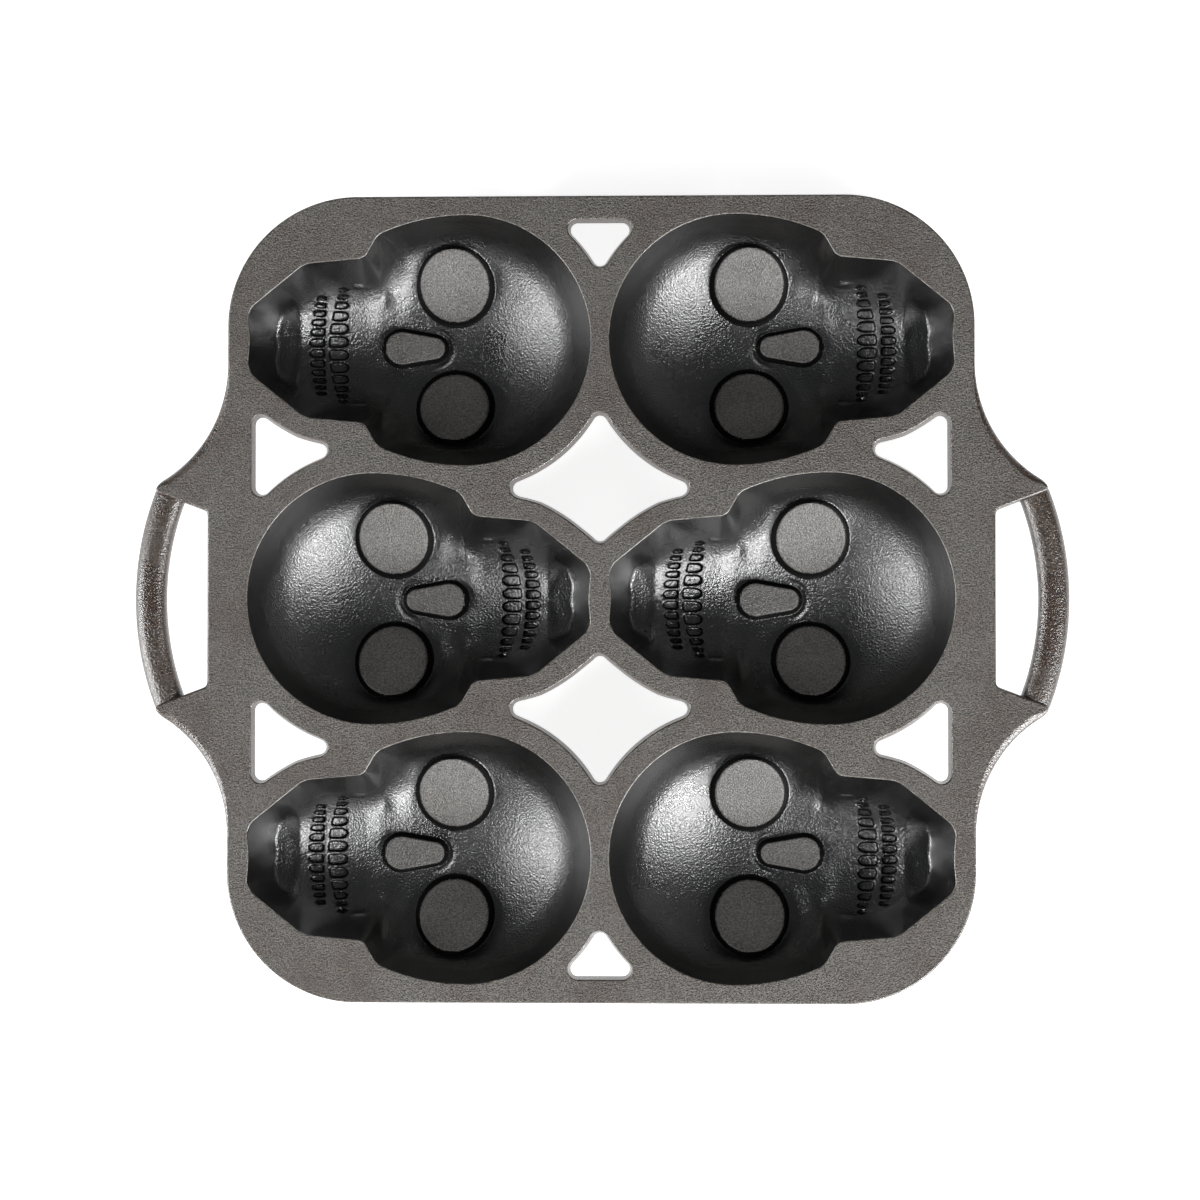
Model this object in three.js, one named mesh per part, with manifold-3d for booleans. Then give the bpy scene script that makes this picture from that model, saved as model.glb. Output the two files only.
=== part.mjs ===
// Cast iron mini cake pan: a flat deck with six skull-shaped cups under it and a loop handle at each end.
// Millimetres, +Z up. The origin lies on the surface that the pan stands on, under the middle of the deck.
import * as THREE from "three";
import { ConvexGeometry } from "three/addons/geometries/ConvexGeometry.js";
import { mergeVertices } from "three/addons/utils/BufferGeometryUtils.js";
import Module from "manifold-3d";

const wasm = await Module();
wasm.setup();

// Casting
const CAVITY_DEPTH = 36.4; // deck top to the deepest point of a cavity
const WALL = 4.5; // iron thickness of a cup
const FOOT_RELIEF = 0.9; // how much of each cup's rounded bottom is ground away to a flat foot
const DECK_THICKNESS = 6;
const WALL_ANGLE = THREE.MathUtils.degToRad(68); // slope of the cavity walls above the horizontal
const CHIN_WALL_ANGLE = THREE.MathUtils.degToRad(77); // the same at the chin, where the wall is steeper
const FLOOR_FILLET = 13; // reach of the blend between a cavity's wall and its floor
const CHIN_FILLET = 3; // the same at the front of the chin, where a crease is left
const CHIN_FRONT = { from: 9, to: 20 }; // how far from the chin that crease fades out
const FILLET_SHARE = 0.9; // most of a floor's depth that the blend may take
const CUP_GAP = 2.7; // air between the walls of neighbouring cups, just under the deck
const SEAM_GAP = 0.3; // clearance where a handle's end meets its shoulder

// Skull outline at the deck's top: a round cranium and a narrower jaw
const SKULL_LENGTH = 144.3; // chin to crown
const CRANIUM_RADIUS = 52.6;
const TEMPLE_RADIUS = 87.4; // flatter arc from the widest section to the temple
const TEMPLE_REACH = 37; // from the widest section to the temple's corner
const TEMPLE_ROUNDING = 1.4;
const CHEEK_ANGLE = THREE.MathUtils.degToRad(60); // lean of the short edge from the temple back to the jaw
const NOTCH_ROUNDING = 2;
const JAW_HALF_WIDTH = 34.6; // where the jaw leaves the cranium
const JAW_TAPER = THREE.MathUtils.degToRad(5); // lean of the jaw's sides
const JAW_REACH = 24; // chin to the corner of the jaw
const JAW_ROUNDING = 1.6;
const CHIN_ANGLE = THREE.MathUtils.degToRad(39); // lean of the edges from the jaw's corners to the chin
const CHIN_ROUNDING = 3.2;
const ROUNDING_GROWTH = 0.7; // corners grow rounder away from the rim

// Relief of the face. A rise is a share of the cavity's depth.
const DOME_RISE = 0.68; // of the round floor under the cranium, from its middle to its rim
const DOME_POWER = 2.2;
const BROW_RISE = 0.13; // of the floor towards the chin, over one cranium radius
const BROW_LIMIT = 0.235; // where that rise ends, so that the chin's floor is level
const BROW_BLEND = 0.06; // over which it levels off
const MUZZLE_RISE = 0.5; // of the floor across the muzzle, from the middle to the jaw's side
const MUZZLE_POWER = 2;
const MUZZLE_REACH = 1.1; // how far past the jaw's side that rise goes on, in half widths
const LEAST_DEPTH = 0.03; // of the floor anywhere
const CHEEK_RISE = 0.05; // of the step that each cheek makes beside the nose
const CHEEK_STEP = { from: 9, to: 18 }; // where the cheeks step up, ahead of the jaw's hinge
const CHEEK_ASIDE = { from: 8, to: 24 }; // where they do so across the skull
const JAW_STEP = { from: -3, to: 5 }; // where the cranium's floor gives way to the muzzle's, ahead of the hinge

// Eye sockets and nose stand up from the floor, and the eyes are hollowed from below
const EYE_BACK = 6.5; // eye centre behind the cranium's middle, towards the chin
const EYE_ASIDE = 26; // eye centre from the skull's axis
const EYE_TOP_RADIUS = 14.7;
const EYE_BASE_RADIUS = 17;
const EYE_HEIGHT = 6.6;
const EYE_SLOPE = 0.56; // lean of the sockets towards the skull's axis, as a rise over a run
const NOSE_BACK = 11.3; // narrow end of the nose behind the cranium's middle
const NOSE_LENGTH = 25.4;
const NOSE_TIP_RADIUS = 4.6; // narrow end, towards the crown
const NOSE_ROOT_RADIUS = 7; // wide end, towards the teeth
const NOSE_HEIGHT = 4.4;

// Two rows of teeth are sunk into the floor of the muzzle, bowed towards the crown at their ends
const TOOTH_ROWS = [
  { fromChin: 34.8, length: 8.6, width: 5, teeth: 8 },
  { fromChin: 25.5, length: 6.6, width: 4.3, teeth: 8 },
];
const TOOTH_GROOVE = 0.7; // iron left between two teeth
const TOOTH_DEPTH = 0.9;
const TOOTH_BOW = 2.4; // of the outermost teeth

// Deck
const END_BORDER = 8.7; // chin or crown to the straight side of the deck
const EDGE_BORDER = 8.3; // cranium to the front or back edge of the deck
const DECK_CORNER = 55;
const RIM_WIDTH = 10.5; // iron left between a cavity and a window
const SIDE_RAIL = 11.6; // straight side of the deck to the windows beside it
const EDGE_RAIL = 11.4; // front or back edge of the deck to the window beside it
const WINDOW_CORNER = 3; // radius of a window's corners

// Handles
const GRIP_WEB = 8.4; // straight side of the deck to the hand hole
const GRIP_LENGTH = 73;
const GRIP_DEPTH = 17.8;
const BAR_WIDTH = 13;
const BAR_HEIGHT = 11;
const BAR_CORNER = 2; // how far a gusset's lower corners stand in from the bar's sides
const BAR_DROP = 1.2; // top of the bar below the deck's top
const BAR_RADIUS = 121.5; // bow of the bar's centre line
const BAR_ROUNDNESS = 2.6; // exponent of the bar's oval section
const FLANK_RADIUS = 57.3; // hollow curve from the deck's side out to the handle
const SHOULDER_RADIUS = 11.1;
const GUSSET_LENGTH = 30; // tapered thickening under the deck behind each end of a bar

// Facets
const FLATNESS = 0.3; // how far a traced outline may leave its curve
const RAYS = 360; // around a traced outline, before it is thinned
const TRACING = 0.001; // how closely a ray finds its outline
const WELD = 0.0001; // points nearer than this are one point
const OVERCUT = 2; // how far a cutting shape runs past what it cuts
const ARC_STEP = THREE.MathUtils.degToRad(10);
const CAVITY_RINGS = { fine: [0.9, 0.79], coarse: [0.65, 0.45, 0.24] }; // shares of the way from centre to rim
const CUP_RINGS = { fine: [0.9, 0.79], coarse: [0.66, 0.48, 0.2] };
const BOSS_SIDES = 20;
const BAR_SIDES = 16;
const BAR_STEPS = 14;

// Places worked out from the sizes above
const PAN_HEIGHT = CAVITY_DEPTH + WALL - FOOT_RELIEF;
const CRANIUM_CENTRE = SKULL_LENGTH / 2 - CRANIUM_RADIUS;
const CHIN = -SKULL_LENGTH / 2;
const TEMPLE_HALF_WIDTH = CRANIUM_RADIUS - TEMPLE_RADIUS + Math.sqrt(TEMPLE_RADIUS ** 2 - TEMPLE_REACH ** 2);
const HINGE = CRANIUM_CENTRE - TEMPLE_REACH - (TEMPLE_HALF_WIDTH - JAW_HALF_WIDTH) / Math.tan(CHEEK_ANGLE);
const JAW_CORNER_HALF_WIDTH = JAW_HALF_WIDTH - (HINGE - CHIN - JAW_REACH) * Math.tan(JAW_TAPER);
const EYE_PLACE = CRANIUM_CENTRE - EYE_BACK;
const SPOKE_CENTRE = CRANIUM_CENTRE - CRANIUM_RADIUS / 5; // the whole outline is in sight of this point
const OUTER_OFFSET = WALL / Math.sin(WALL_ANGLE) - DECK_THICKNESS / Math.tan(WALL_ANGLE);
const WEB = 2 * OUTER_OFFSET + CUP_GAP; // iron between neighbouring cavities
const MIDDLE_HALF_WIDTH = CRANIUM_RADIUS - TEMPLE_RADIUS + Math.sqrt(TEMPLE_RADIUS ** 2 - CRANIUM_CENTRE ** 2);
const COLUMN = (SKULL_LENGTH + WEB) / 2; // a column's distance from the pan's middle
const ROW = 2 * MIDDLE_HALF_WIDTH + WEB; // distance between rows, whose skulls point opposite ways
const DECK_HALF_LENGTH = COLUMN + SKULL_LENGTH / 2 + END_BORDER;
const DECK_HALF_WIDTH = ROW + CRANIUM_RADIUS + EDGE_BORDER;
const GRIP_START = DECK_HALF_LENGTH + GRIP_WEB;
const BAR_CENTRE = GRIP_START + GRIP_DEPTH + BAR_WIDTH / 2 - BAR_RADIUS;
const BAR_OUTER_RADIUS = BAR_RADIUS + BAR_WIDTH / 2;
const SHOULDER_ANGLE = Math.atan(GRIP_LENGTH / 2 / (GRIP_START - BAR_CENTRE));

const CUP_PLACES = [
  { name: "skull_cup_back_left", column: -1, row: 1 },
  { name: "skull_cup_back_right", column: 1, row: 1 },
  { name: "skull_cup_middle_left", column: -1, row: 0 },
  { name: "skull_cup_middle_right", column: 1, row: 0 },
  { name: "skull_cup_front_left", column: -1, row: -1 },
  { name: "skull_cup_front_right", column: 1, row: -1 },
].map(({ name, column, row }) => ({
  name,
  x: column * COLUMN,
  y: row * ROW,
  turn: column * (row === 0 ? -1 : 1) > 0 ? Math.PI : 0, // crowns meet in outer rows, chins in the middle
}));

// Joining and cutting of closed meshes
function solidOf(geometry) {
  const bare = geometry.clone();
  bare.deleteAttribute("normal");
  bare.deleteAttribute("uv");
  const merged = mergeVertices(bare, WELD);
  const mesh = new wasm.Mesh({
    numProp: 3,
    vertProperties: new Float32Array(merged.attributes.position.array),
    triVerts: new Uint32Array(merged.index.array),
  });
  return new wasm.Manifold(mesh);
}

function geometryOf(solid) {
  const mesh = solid.getMesh();
  const geometry = new THREE.BufferGeometry();
  geometry.setAttribute("position", new THREE.BufferAttribute(mesh.vertProperties, 3));
  geometry.setIndex(new THREE.BufferAttribute(mesh.triVerts, 1));
  geometry.computeVertexNormals();
  return geometry;
}

const smoothstep = THREE.MathUtils.smoothstep;

// An outline given by the half of it above the x axis.
function mirrored(points) {
  const offAxis = points.filter((p) => p.y > WELD);
  return [...points, ...offAxis.map((p) => new THREE.Vector2(p.x, -p.y)).reverse()];
}

// A path with only the points that keep it within FLATNESS of the one given.
function thinned(path) {
  const first = path[0];
  const last = path.at(-1);
  const chord = last.clone().sub(first).normalize();
  const strays = path.map((p) => Math.abs(chord.cross(p.clone().sub(first))));
  const far = strays.indexOf(Math.max(...strays));
  if (strays[far] < FLATNESS) return [first, last];
  return [...thinned(path.slice(0, far + 1)), ...thinned(path.slice(far)).slice(1)];
}

// The lesser of two heights, with their meeting rounded over the given reach.
function smoothMin(a, b, reach) {
  const share = Math.max(reach - Math.abs(a - b), 0) / reach;
  return Math.min(a, b) - (share * share * reach) / 4;
}

// Points on an arc, both ends included.
function arc(cx, cy, radius, from, to) {
  const steps = Math.max(1, Math.ceil(Math.abs(to - from) / ARC_STEP));
  return Array.from({ length: steps + 1 }, (_, i) => {
    const angle = from + ((to - from) * i) / steps;
    return new THREE.Vector2(cx + radius * Math.cos(angle), cy + radius * Math.sin(angle));
  });
}

// The lesser of two insets, with the corner between them rounder the farther it lies from the rim.
function cornerMin(a, b, rounding) {
  return smoothMin(a, b, rounding + ROUNDING_GROWTH * Math.abs(Math.min(a, b)));
}

// How far inside the skull's outline a point lies, with x from chin to crown and y across. Negative outside.
function inset(x, y) {
  const aside = Math.abs(y);
  const ahead = x - CRANIUM_CENTRE;
  const within = (px, py, angle) => (x - px) * Math.sin(angle) - (aside - py) * Math.cos(angle);
  const bow = ahead > 0 ? 0 : TEMPLE_RADIUS - CRANIUM_RADIUS;
  const round = CRANIUM_RADIUS + bow - Math.hypot(ahead, aside + bow);
  const cheek = within(CRANIUM_CENTRE - TEMPLE_REACH, TEMPLE_HALF_WIDTH, CHEEK_ANGLE);
  const cranium = cornerMin(round, cheek, TEMPLE_ROUNDING);
  const side = within(HINGE, JAW_HALF_WIDTH, JAW_TAPER);
  const slant = within(CHIN + JAW_REACH, JAW_CORNER_HALF_WIDTH, CHIN_ANGLE);
  const front = cornerMin(cornerMin(side, slant, JAW_ROUNDING), x - CHIN, CHIN_ROUNDING);
  const jaw = Math.min(front, -ahead);
  return -cornerMin(-cranium, -jaw, NOTCH_ROUNDING);
}

// Where the rays from a point leave the region around it, as an outline with only the points it needs.
function traced(x, y, farthest, isInside) {
  const whole = Array.from({ length: RAYS + 1 }, (_, i) => {
    const angle = (2 * Math.PI * i) / RAYS;
    let inside = 0;
    let outside = farthest;
    while (outside - inside > TRACING) {
      const middle = (inside + outside) / 2;
      if (isInside(x + middle * Math.cos(angle), y + middle * Math.sin(angle))) inside = middle;
      else outside = middle;
    }
    return new THREE.Vector2(x + inside * Math.cos(angle), y + inside * Math.sin(angle));
  });
  const half = RAYS / 2;
  return [...thinned(whole.slice(0, half + 1)).slice(0, -1), ...thinned(whole.slice(half)).slice(0, -1)];
}

// The rim of a cavity, or of its cup's outside at the given distance from it.
function skullRim(distance) {
  const whole = traced(SPOKE_CENTRE, 0, SKULL_LENGTH, (x, y) => inset(x, y) > -distance);
  return mirrored(whole.filter((p) => p.y > -WELD));
}

// Depth of the face's floor: a round bowl under the cranium, which steps up at the cheeks, and a narrow one
// under the muzzle, which is level at the chin.
function floorDepth(x, y) {
  const ahead = (x - CRANIUM_CENTRE) / CRANIUM_RADIUS;
  const aside = Math.abs(y);
  const pastHinge = x - HINGE;
  const brow = smoothMin(BROW_RISE * Math.min(ahead, 0) ** 2, BROW_LIMIT, BROW_BLEND);
  const dome = DOME_RISE * Math.hypot(Math.max(ahead, 0), aside / CRANIUM_RADIUS) ** DOME_POWER;
  const behind = 1 - smoothstep(pastHinge, CHEEK_STEP.from, CHEEK_STEP.to);
  const cheek = CHEEK_RISE * behind * smoothstep(aside, CHEEK_ASIDE.from, CHEEK_ASIDE.to);
  const muzzle = MUZZLE_RISE * Math.min(aside / JAW_HALF_WIDTH, MUZZLE_REACH) ** MUZZLE_POWER;
  const share = smoothstep(pastHinge, JAW_STEP.from, JAW_STEP.to);
  return CAVITY_DEPTH * Math.max(1 - brow - share * (dome + cheek) - (1 - share) * muzzle, LEAST_DEPTH);
}

// Depth below the deck's top of a wall that starts at some depth and distance from the rim, and of its floor.
function bowlDepth(x, y, distance, start, floor) {
  const share = smoothstep(x - CHIN, CHIN_FRONT.from, CHIN_FRONT.to);
  const slope = THREE.MathUtils.lerp(Math.tan(CHIN_WALL_ANGLE), Math.tan(WALL_ANGLE), share);
  const wall = start + (inset(x, y) + distance) * slope;
  const fillet = THREE.MathUtils.lerp(CHIN_FILLET, FLOOR_FILLET, share);
  return smoothMin(wall, floor, Math.min(fillet, FILLET_SHARE * floor));
}

const cavityDepth = (x, y) => bowlDepth(x, y, 0, 0, floorDepth(x, y));

// The outside follows the floor of a slightly larger skull, so that the wall is even on the bowl's flanks too.
function cupDepth(x, y) {
  const share = CRANIUM_RADIUS / (CRANIUM_RADIUS + WALL / 2);
  const floor = floorDepth(CRANIUM_CENTRE + (x - CRANIUM_CENTRE) * share, y * share) + WALL;
  return Math.min(bowlDepth(x, y, OUTER_OFFSET, DECK_THICKNESS, floor), PAN_HEIGHT);
}

// A closed bowl hung from a rim under a flat lid. Its inner rings have half the points of the outer ones.
function bowlGeometry({ rim, rings, lid, start, depthAt }) {
  const ring = (points, share) =>
    points.map((p) => {
      const x = SPOKE_CENTRE + (p.x - SPOKE_CENTRE) * share;
      const y = p.y * share;
      return [x, y, -depthAt(x, y)];
    });
  const every2nd = rim.filter((_, i) => i % 2 === 0);
  const levels = [
    rim.map((p) => [p.x, p.y, -lid]),
    ...(lid === start ? [] : [rim.map((p) => [p.x, p.y, -start])]),
    ...rings.fine.map((share) => ring(rim, share)),
    ...rings.coarse.map((share) => ring(every2nd, share)),
  ];
  const vertices = [[SPOKE_CENTRE, 0, -lid], [SPOKE_CENTRE, 0, -depthAt(SPOKE_CENTRE, 0)]];
  const faces = [];
  const firsts = levels.map((level) => vertices.push(...level) - level.length);
  levels.forEach((level, n) => {
    const at = (i) => firsts[n] + (i % level.length);
    const below = levels[n + 1];
    const next = (i) => firsts[n + 1] + (i % below.length);
    level.forEach((_, i) => {
      if (n === 0) faces.push(0, at(i), at(i + 1));
      if (!below) {
        faces.push(1, at(i + 1), at(i));
      } else if (below.length === level.length) {
        faces.push(at(i), next(i), at(i + 1));
        faces.push(at(i + 1), next(i), next(i + 1));
      } else if (i % 2 === 0) {
        faces.push(at(i), next(i / 2), at(i + 1));
      } else {
        faces.push(at(i), next((i - 1) / 2), next((i + 1) / 2));
        faces.push(at(i), next((i + 1) / 2), at(i + 1));
      }
    });
  });
  const geometry = new THREE.BufferGeometry();
  geometry.setAttribute("position", new THREE.Float32BufferAttribute(vertices.flat(), 3));
  geometry.setIndex(faces);
  return geometry;
}

// A flat outline drawn up from one height to another.
function slab(outline, bottom, top) {
  const shape = new THREE.Shape(outline);
  const geometry = new THREE.ExtrudeGeometry(shape, { depth: top - bottom, bevelEnabled: false });
  geometry.translate(0, 0, bottom);
  return solidOf(geometry);
}

// A tapered round plug under an eye, sheared to the eye's slope, from one depth below the floor to another.
function eyePlug(side, top, bottom, topRadius, bottomRadius) {
  const geometry = new THREE.CylinderGeometry(topRadius, bottomRadius, bottom - top, BOSS_SIDES);
  geometry.rotateX(Math.PI / 2);
  geometry.translate(0, 0, -(top + bottom) / 2);
  geometry.applyMatrix4(new THREE.Matrix4().makeShear(0, 0, 0, side * EYE_SLOPE, 0, 0));
  geometry.translate(EYE_PLACE, side * EYE_ASIDE, -floorDepth(EYE_PLACE, EYE_ASIDE));
  return solidOf(geometry);
}

// The nose: a rounded wedge of a plug, wide at the teeth and narrow at the brow.
function nosePlug(top, bottom) {
  const tip = CRANIUM_CENTRE - NOSE_BACK - NOSE_TIP_RADIUS;
  const root = CRANIUM_CENTRE - NOSE_BACK - NOSE_LENGTH + NOSE_ROOT_RADIUS;
  const lean = Math.PI / 2 - Math.asin((NOSE_ROOT_RADIUS - NOSE_TIP_RADIUS) / (tip - root));
  const outline = mirrored([
    ...arc(tip, 0, NOSE_TIP_RADIUS, 0, lean),
    ...arc(root, 0, NOSE_ROOT_RADIUS, lean, Math.PI),
  ]);
  const floor = -floorDepth((tip + root) / 2, 0);
  return slab(outline, floor - bottom, floor - top);
}

// A tooth's pit, square to the muzzle's floor and reaching above it.
function toothPit(row, place) {
  const offMiddle = place - (row.teeth - 1) / 2;
  const y = row.width * offMiddle;
  const x = CHIN + row.fromChin + TOOTH_BOW * ((2 * offMiddle) / row.teeth) ** 2;
  const nudge = TOOTH_GROOVE / 2;
  const lean = Math.atan((cavityDepth(x, y + nudge) - cavityDepth(x, y - nudge)) / TOOTH_GROOVE);
  const fall = Math.atan((cavityDepth(x + nudge, y) - cavityDepth(x - nudge, y)) / TOOTH_GROOVE);
  const geometry = new THREE.BoxGeometry(row.length, row.width - TOOTH_GROOVE, TOOTH_DEPTH + OVERCUT);
  geometry.translate(0, 0, (OVERCUT - TOOTH_DEPTH) / 2);
  geometry.rotateX(-lean);
  geometry.rotateY(fall);
  geometry.translate(x, y, -cavityDepth(x, y));
  return solidOf(geometry);
}

// The space that a cake fills, with its lid above the deck so that it also cuts the deck's opening.
function cavitySolid() {
  const bowl = bowlGeometry({
    rim: skullRim(0),
    rings: CAVITY_RINGS,
    lid: -OVERCUT,
    start: 0,
    depthAt: cavityDepth,
  });
  const intoWall = WALL / 2;
  const flare = EYE_BASE_RADIUS + ((EYE_BASE_RADIUS - EYE_TOP_RADIUS) * intoWall) / EYE_HEIGHT;
  const bosses = [-1, 1].map((side) => eyePlug(side, -EYE_HEIGHT, intoWall, EYE_TOP_RADIUS, flare));
  bosses.push(nosePlug(-NOSE_HEIGHT, intoWall));
  const pits = TOOTH_ROWS.flatMap((row) => Array.from({ length: row.teeth }, (_, i) => toothPit(row, i)));
  const bare = bosses.reduce((space, boss) => space.subtract(boss), solidOf(bowl));
  return pits.reduce((space, pit) => space.add(pit), bare);
}

// One cup: an even wall of iron around the cavity, open at the deck, with the eyes hollowed from below.
function cupSolid(cavity) {
  const outside = bowlGeometry({
    rim: skullRim(OUTER_OFFSET),
    rings: CUP_RINGS,
    lid: DECK_THICKNESS,
    start: DECK_THICKNESS,
    depthAt: cupDepth,
  });
  const below = 2 * WALL;
  const hollowRadius = EYE_TOP_RADIUS - WALL;
  const mouthRadius = hollowRadius + EYE_BASE_RADIUS - EYE_TOP_RADIUS;
  const hollows = [-1, 1].map((side) => eyePlug(side, WALL - EYE_HEIGHT, below, hollowRadius, mouthRadius));
  return hollows.reduce((cup, hollow) => cup.subtract(hollow), solidOf(outside).subtract(cavity));
}

// A quarter of the deck's outline, from the middle of the back edge to the middle of the right-hand hole.
function deckQuarter() {
  const shoulderCentre = new THREE.Vector2(
    BAR_CENTRE + (BAR_OUTER_RADIUS - SHOULDER_RADIUS) * Math.cos(SHOULDER_ANGLE),
    (BAR_OUTER_RADIUS - SHOULDER_RADIUS) * Math.sin(SHOULDER_ANGLE),
  );
  const flankX = DECK_HALF_LENGTH + FLANK_RADIUS;
  const across = flankX - shoulderCentre.x;
  const flankY = shoulderCentre.y + Math.sqrt((FLANK_RADIUS + SHOULDER_RADIUS) ** 2 - across ** 2);
  const meet = Math.atan2(flankY - shoulderCentre.y, across);
  const corner = Math.min(DECK_CORNER, DECK_HALF_WIDTH - flankY);
  return [
    ...arc(DECK_HALF_LENGTH - corner, DECK_HALF_WIDTH - corner, corner, Math.PI / 2, 0),
    ...arc(flankX, flankY, FLANK_RADIUS, Math.PI, Math.PI + meet),
    ...arc(shoulderCentre.x, shoulderCentre.y, SHOULDER_RADIUS, meet, SHOULDER_ANGLE),
    new THREE.Vector2(GRIP_START, GRIP_LENGTH / 2),
  ];
}

// Open width around a point of the deck: how far it lies inside a window with sharp corners.
function windowClearance(x, y) {
  const rails = Math.min(DECK_HALF_LENGTH - SIDE_RAIL - Math.abs(x), DECK_HALF_WIDTH - EDGE_RAIL - Math.abs(y));
  return CUP_PLACES.reduce((clearance, cup) => {
    const facing = cup.turn ? -1 : 1;
    const fromRim = -inset((x - cup.x) * facing, y - cup.y);
    return Math.min(clearance, fromRim - RIM_WIDTH);
  }, rails);
}

// An outline moved out by a radius, with an arc round each of its corners. It runs anticlockwise.
function grown(outline, radius) {
  return outline.flatMap((p, i) => {
    const before = p.clone().sub(outline.at(i - 1)).angle();
    const after = outline[(i + 1) % outline.length].clone().sub(p).angle();
    const turn = THREE.MathUtils.euclideanModulo(after - before + Math.PI, 2 * Math.PI) - Math.PI;
    const out = before - Math.PI / 2;
    if (turn > ARC_STEP) return arc(p.x, p.y, radius, out, out + turn);
    const mitre = radius / Math.cos(turn / 2);
    return [new THREE.Vector2(p.x + mitre * Math.cos(out + turn / 2), p.y + mitre * Math.sin(out + turn / 2))];
  });
}

// A window: its clearance with the corners rounded, so that a round of that radius fits into each of them.
function windowOutline(x, y) {
  const core = traced(x, y, CRANIUM_RADIUS, (px, py) => windowClearance(px, py) > WINDOW_CORNER);
  return grown(core, WINDOW_CORNER);
}

// The most open points of the windows in the back half: between crowns, between chins and beside each jaw.
function windowCentres() {
  const besideJaw = DECK_HALF_LENGTH - SIDE_RAIL - RIM_WIDTH;
  const guesses = [
    [0, DECK_HALF_WIDTH - EDGE_RAIL - RIM_WIDTH],
    [0, ROW / 2],
    [besideJaw, ROW / 2],
    [-besideJaw, ROW / 2],
  ];
  const search = [-2, -1, 0, 1, 2].map((step) => (step * RIM_WIDTH) / 2);
  return guesses.map(([x, y]) => {
    const spots = search.flatMap((dx) => search.map((dy) => [x ? x + dx : 0, y + dy]));
    return spots.reduce((best, spot) => (windowClearance(...spot) > windowClearance(...best) ? spot : best));
  });
}

// The wedge under the deck that thickens it towards the end of a bar.
function gusset(signX, signY) {
  const cos = Math.cos(SHOULDER_ANGLE);
  const sin = Math.sin(SHOULDER_ANGLE);
  const under = PAN_HEIGHT - DECK_THICKNESS;
  const barBottom = PAN_HEIGHT - BAR_DROP - BAR_HEIGHT;
  const inner = BAR_RADIUS - BAR_WIDTH / 2;
  const intoDeck = PAN_HEIGHT - DECK_THICKNESS / 2;
  const onShoulder = (radius, back, z) =>
    new THREE.Vector3(
      signX * (BAR_CENTRE + radius * cos - back * sin - (back * GRIP_WEB) / GUSSET_LENGTH),
      signY * (radius * sin + back * cos),
      z,
    );
  return solidOf(
    new ConvexGeometry([
      onShoulder(inner, 0, intoDeck),
      onShoulder(BAR_RADIUS, 0, intoDeck),
      onShoulder(inner + BAR_CORNER, 0, barBottom),
      onShoulder(BAR_OUTER_RADIUS - BAR_CORNER, 0, barBottom),
      onShoulder(BAR_OUTER_RADIUS - BAR_CORNER, 0, under),
      onShoulder(inner - BAR_WIDTH / 2, GUSSET_LENGTH, intoDeck),
      onShoulder(inner, GUSSET_LENGTH, intoDeck),
    ]),
  );
}

// The deck: one flat plate with six openings, the windows and a thickened shoulder at each end of the bars.
function deckSolid(cavity) {
  const right = mirrored(deckQuarter());
  const left = right.map((p) => new THREE.Vector2(-p.x, p.y)).reverse();
  const bottom = PAN_HEIGHT - DECK_THICKNESS;
  let deck = slab([...right, ...left], bottom, PAN_HEIGHT);
  [-1, 1].forEach((signX) =>
    [-1, 1].forEach((signY) => {
      deck = deck.add(gusset(signX, signY));
    }),
  );
  CUP_PLACES.forEach((cup) => {
    const turned = cavity.rotate([0, 0, THREE.MathUtils.radToDeg(cup.turn)]);
    deck = deck.subtract(turned.translate([cup.x, cup.y, PAN_HEIGHT]));
  });
  windowCentres().forEach(([x, y]) =>
    [-1, 1].forEach((side) => {
      deck = deck.subtract(slab(windowOutline(x, side * y), bottom - OVERCUT, PAN_HEIGHT + OVERCUT));
    }),
  );
  return deck;
}

// A bar: an oval section carried along the arc between its two shoulders, in the right-hand handle's place.
function barGeometry() {
  const end = SHOULDER_ANGLE - SEAM_GAP / BAR_RADIUS;
  const middle = PAN_HEIGHT - BAR_DROP - BAR_HEIGHT / 2;
  const oval = (value) => Math.sign(value) * Math.abs(value) ** (2 / BAR_ROUNDNESS);
  const vertices = [];
  const faces = [];
  for (let i = 0; i <= BAR_STEPS; i++) {
    const along = -end + (2 * end * i) / BAR_STEPS;
    for (let j = 0; j < BAR_SIDES; j++) {
      const around = (2 * Math.PI * j) / BAR_SIDES;
      const radius = BAR_RADIUS + (BAR_WIDTH / 2) * oval(Math.cos(around));
      vertices.push(BAR_CENTRE + radius * Math.cos(along), radius * Math.sin(along));
      vertices.push(middle + (BAR_HEIGHT / 2) * oval(Math.sin(around)));
    }
  }
  const last = BAR_STEPS * BAR_SIDES;
  for (let j = 0; j < BAR_SIDES; j++) {
    const k = (j + 1) % BAR_SIDES;
    for (let ring = 0; ring < last; ring += BAR_SIDES) {
      faces.push(ring + j, ring + BAR_SIDES + k, ring + k);
      faces.push(ring + j, ring + BAR_SIDES + j, ring + BAR_SIDES + k);
    }
    if (j > 0 && j < BAR_SIDES - 1) faces.push(0, j, k, last, last + k, last + j);
  }
  const geometry = new THREE.BufferGeometry();
  geometry.setAttribute("position", new THREE.Float32BufferAttribute(vertices, 3));
  geometry.setIndex(faces);
  geometry.computeVertexNormals();
  return geometry;
}

// Seasoned cast iron: rough and grey on the deck, blacker and smoother in the cups, worn on the bars.
const DECK_IRON = { color: "#5a5752", roughness: 0.62, metalness: 0.55 };
const CUP_IRON = { color: "#2c2b2c", roughness: 0.45, metalness: 0.55 };
const BAR_IRON = { color: "#4b4842", roughness: 0.55, metalness: 0.6 };

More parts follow.
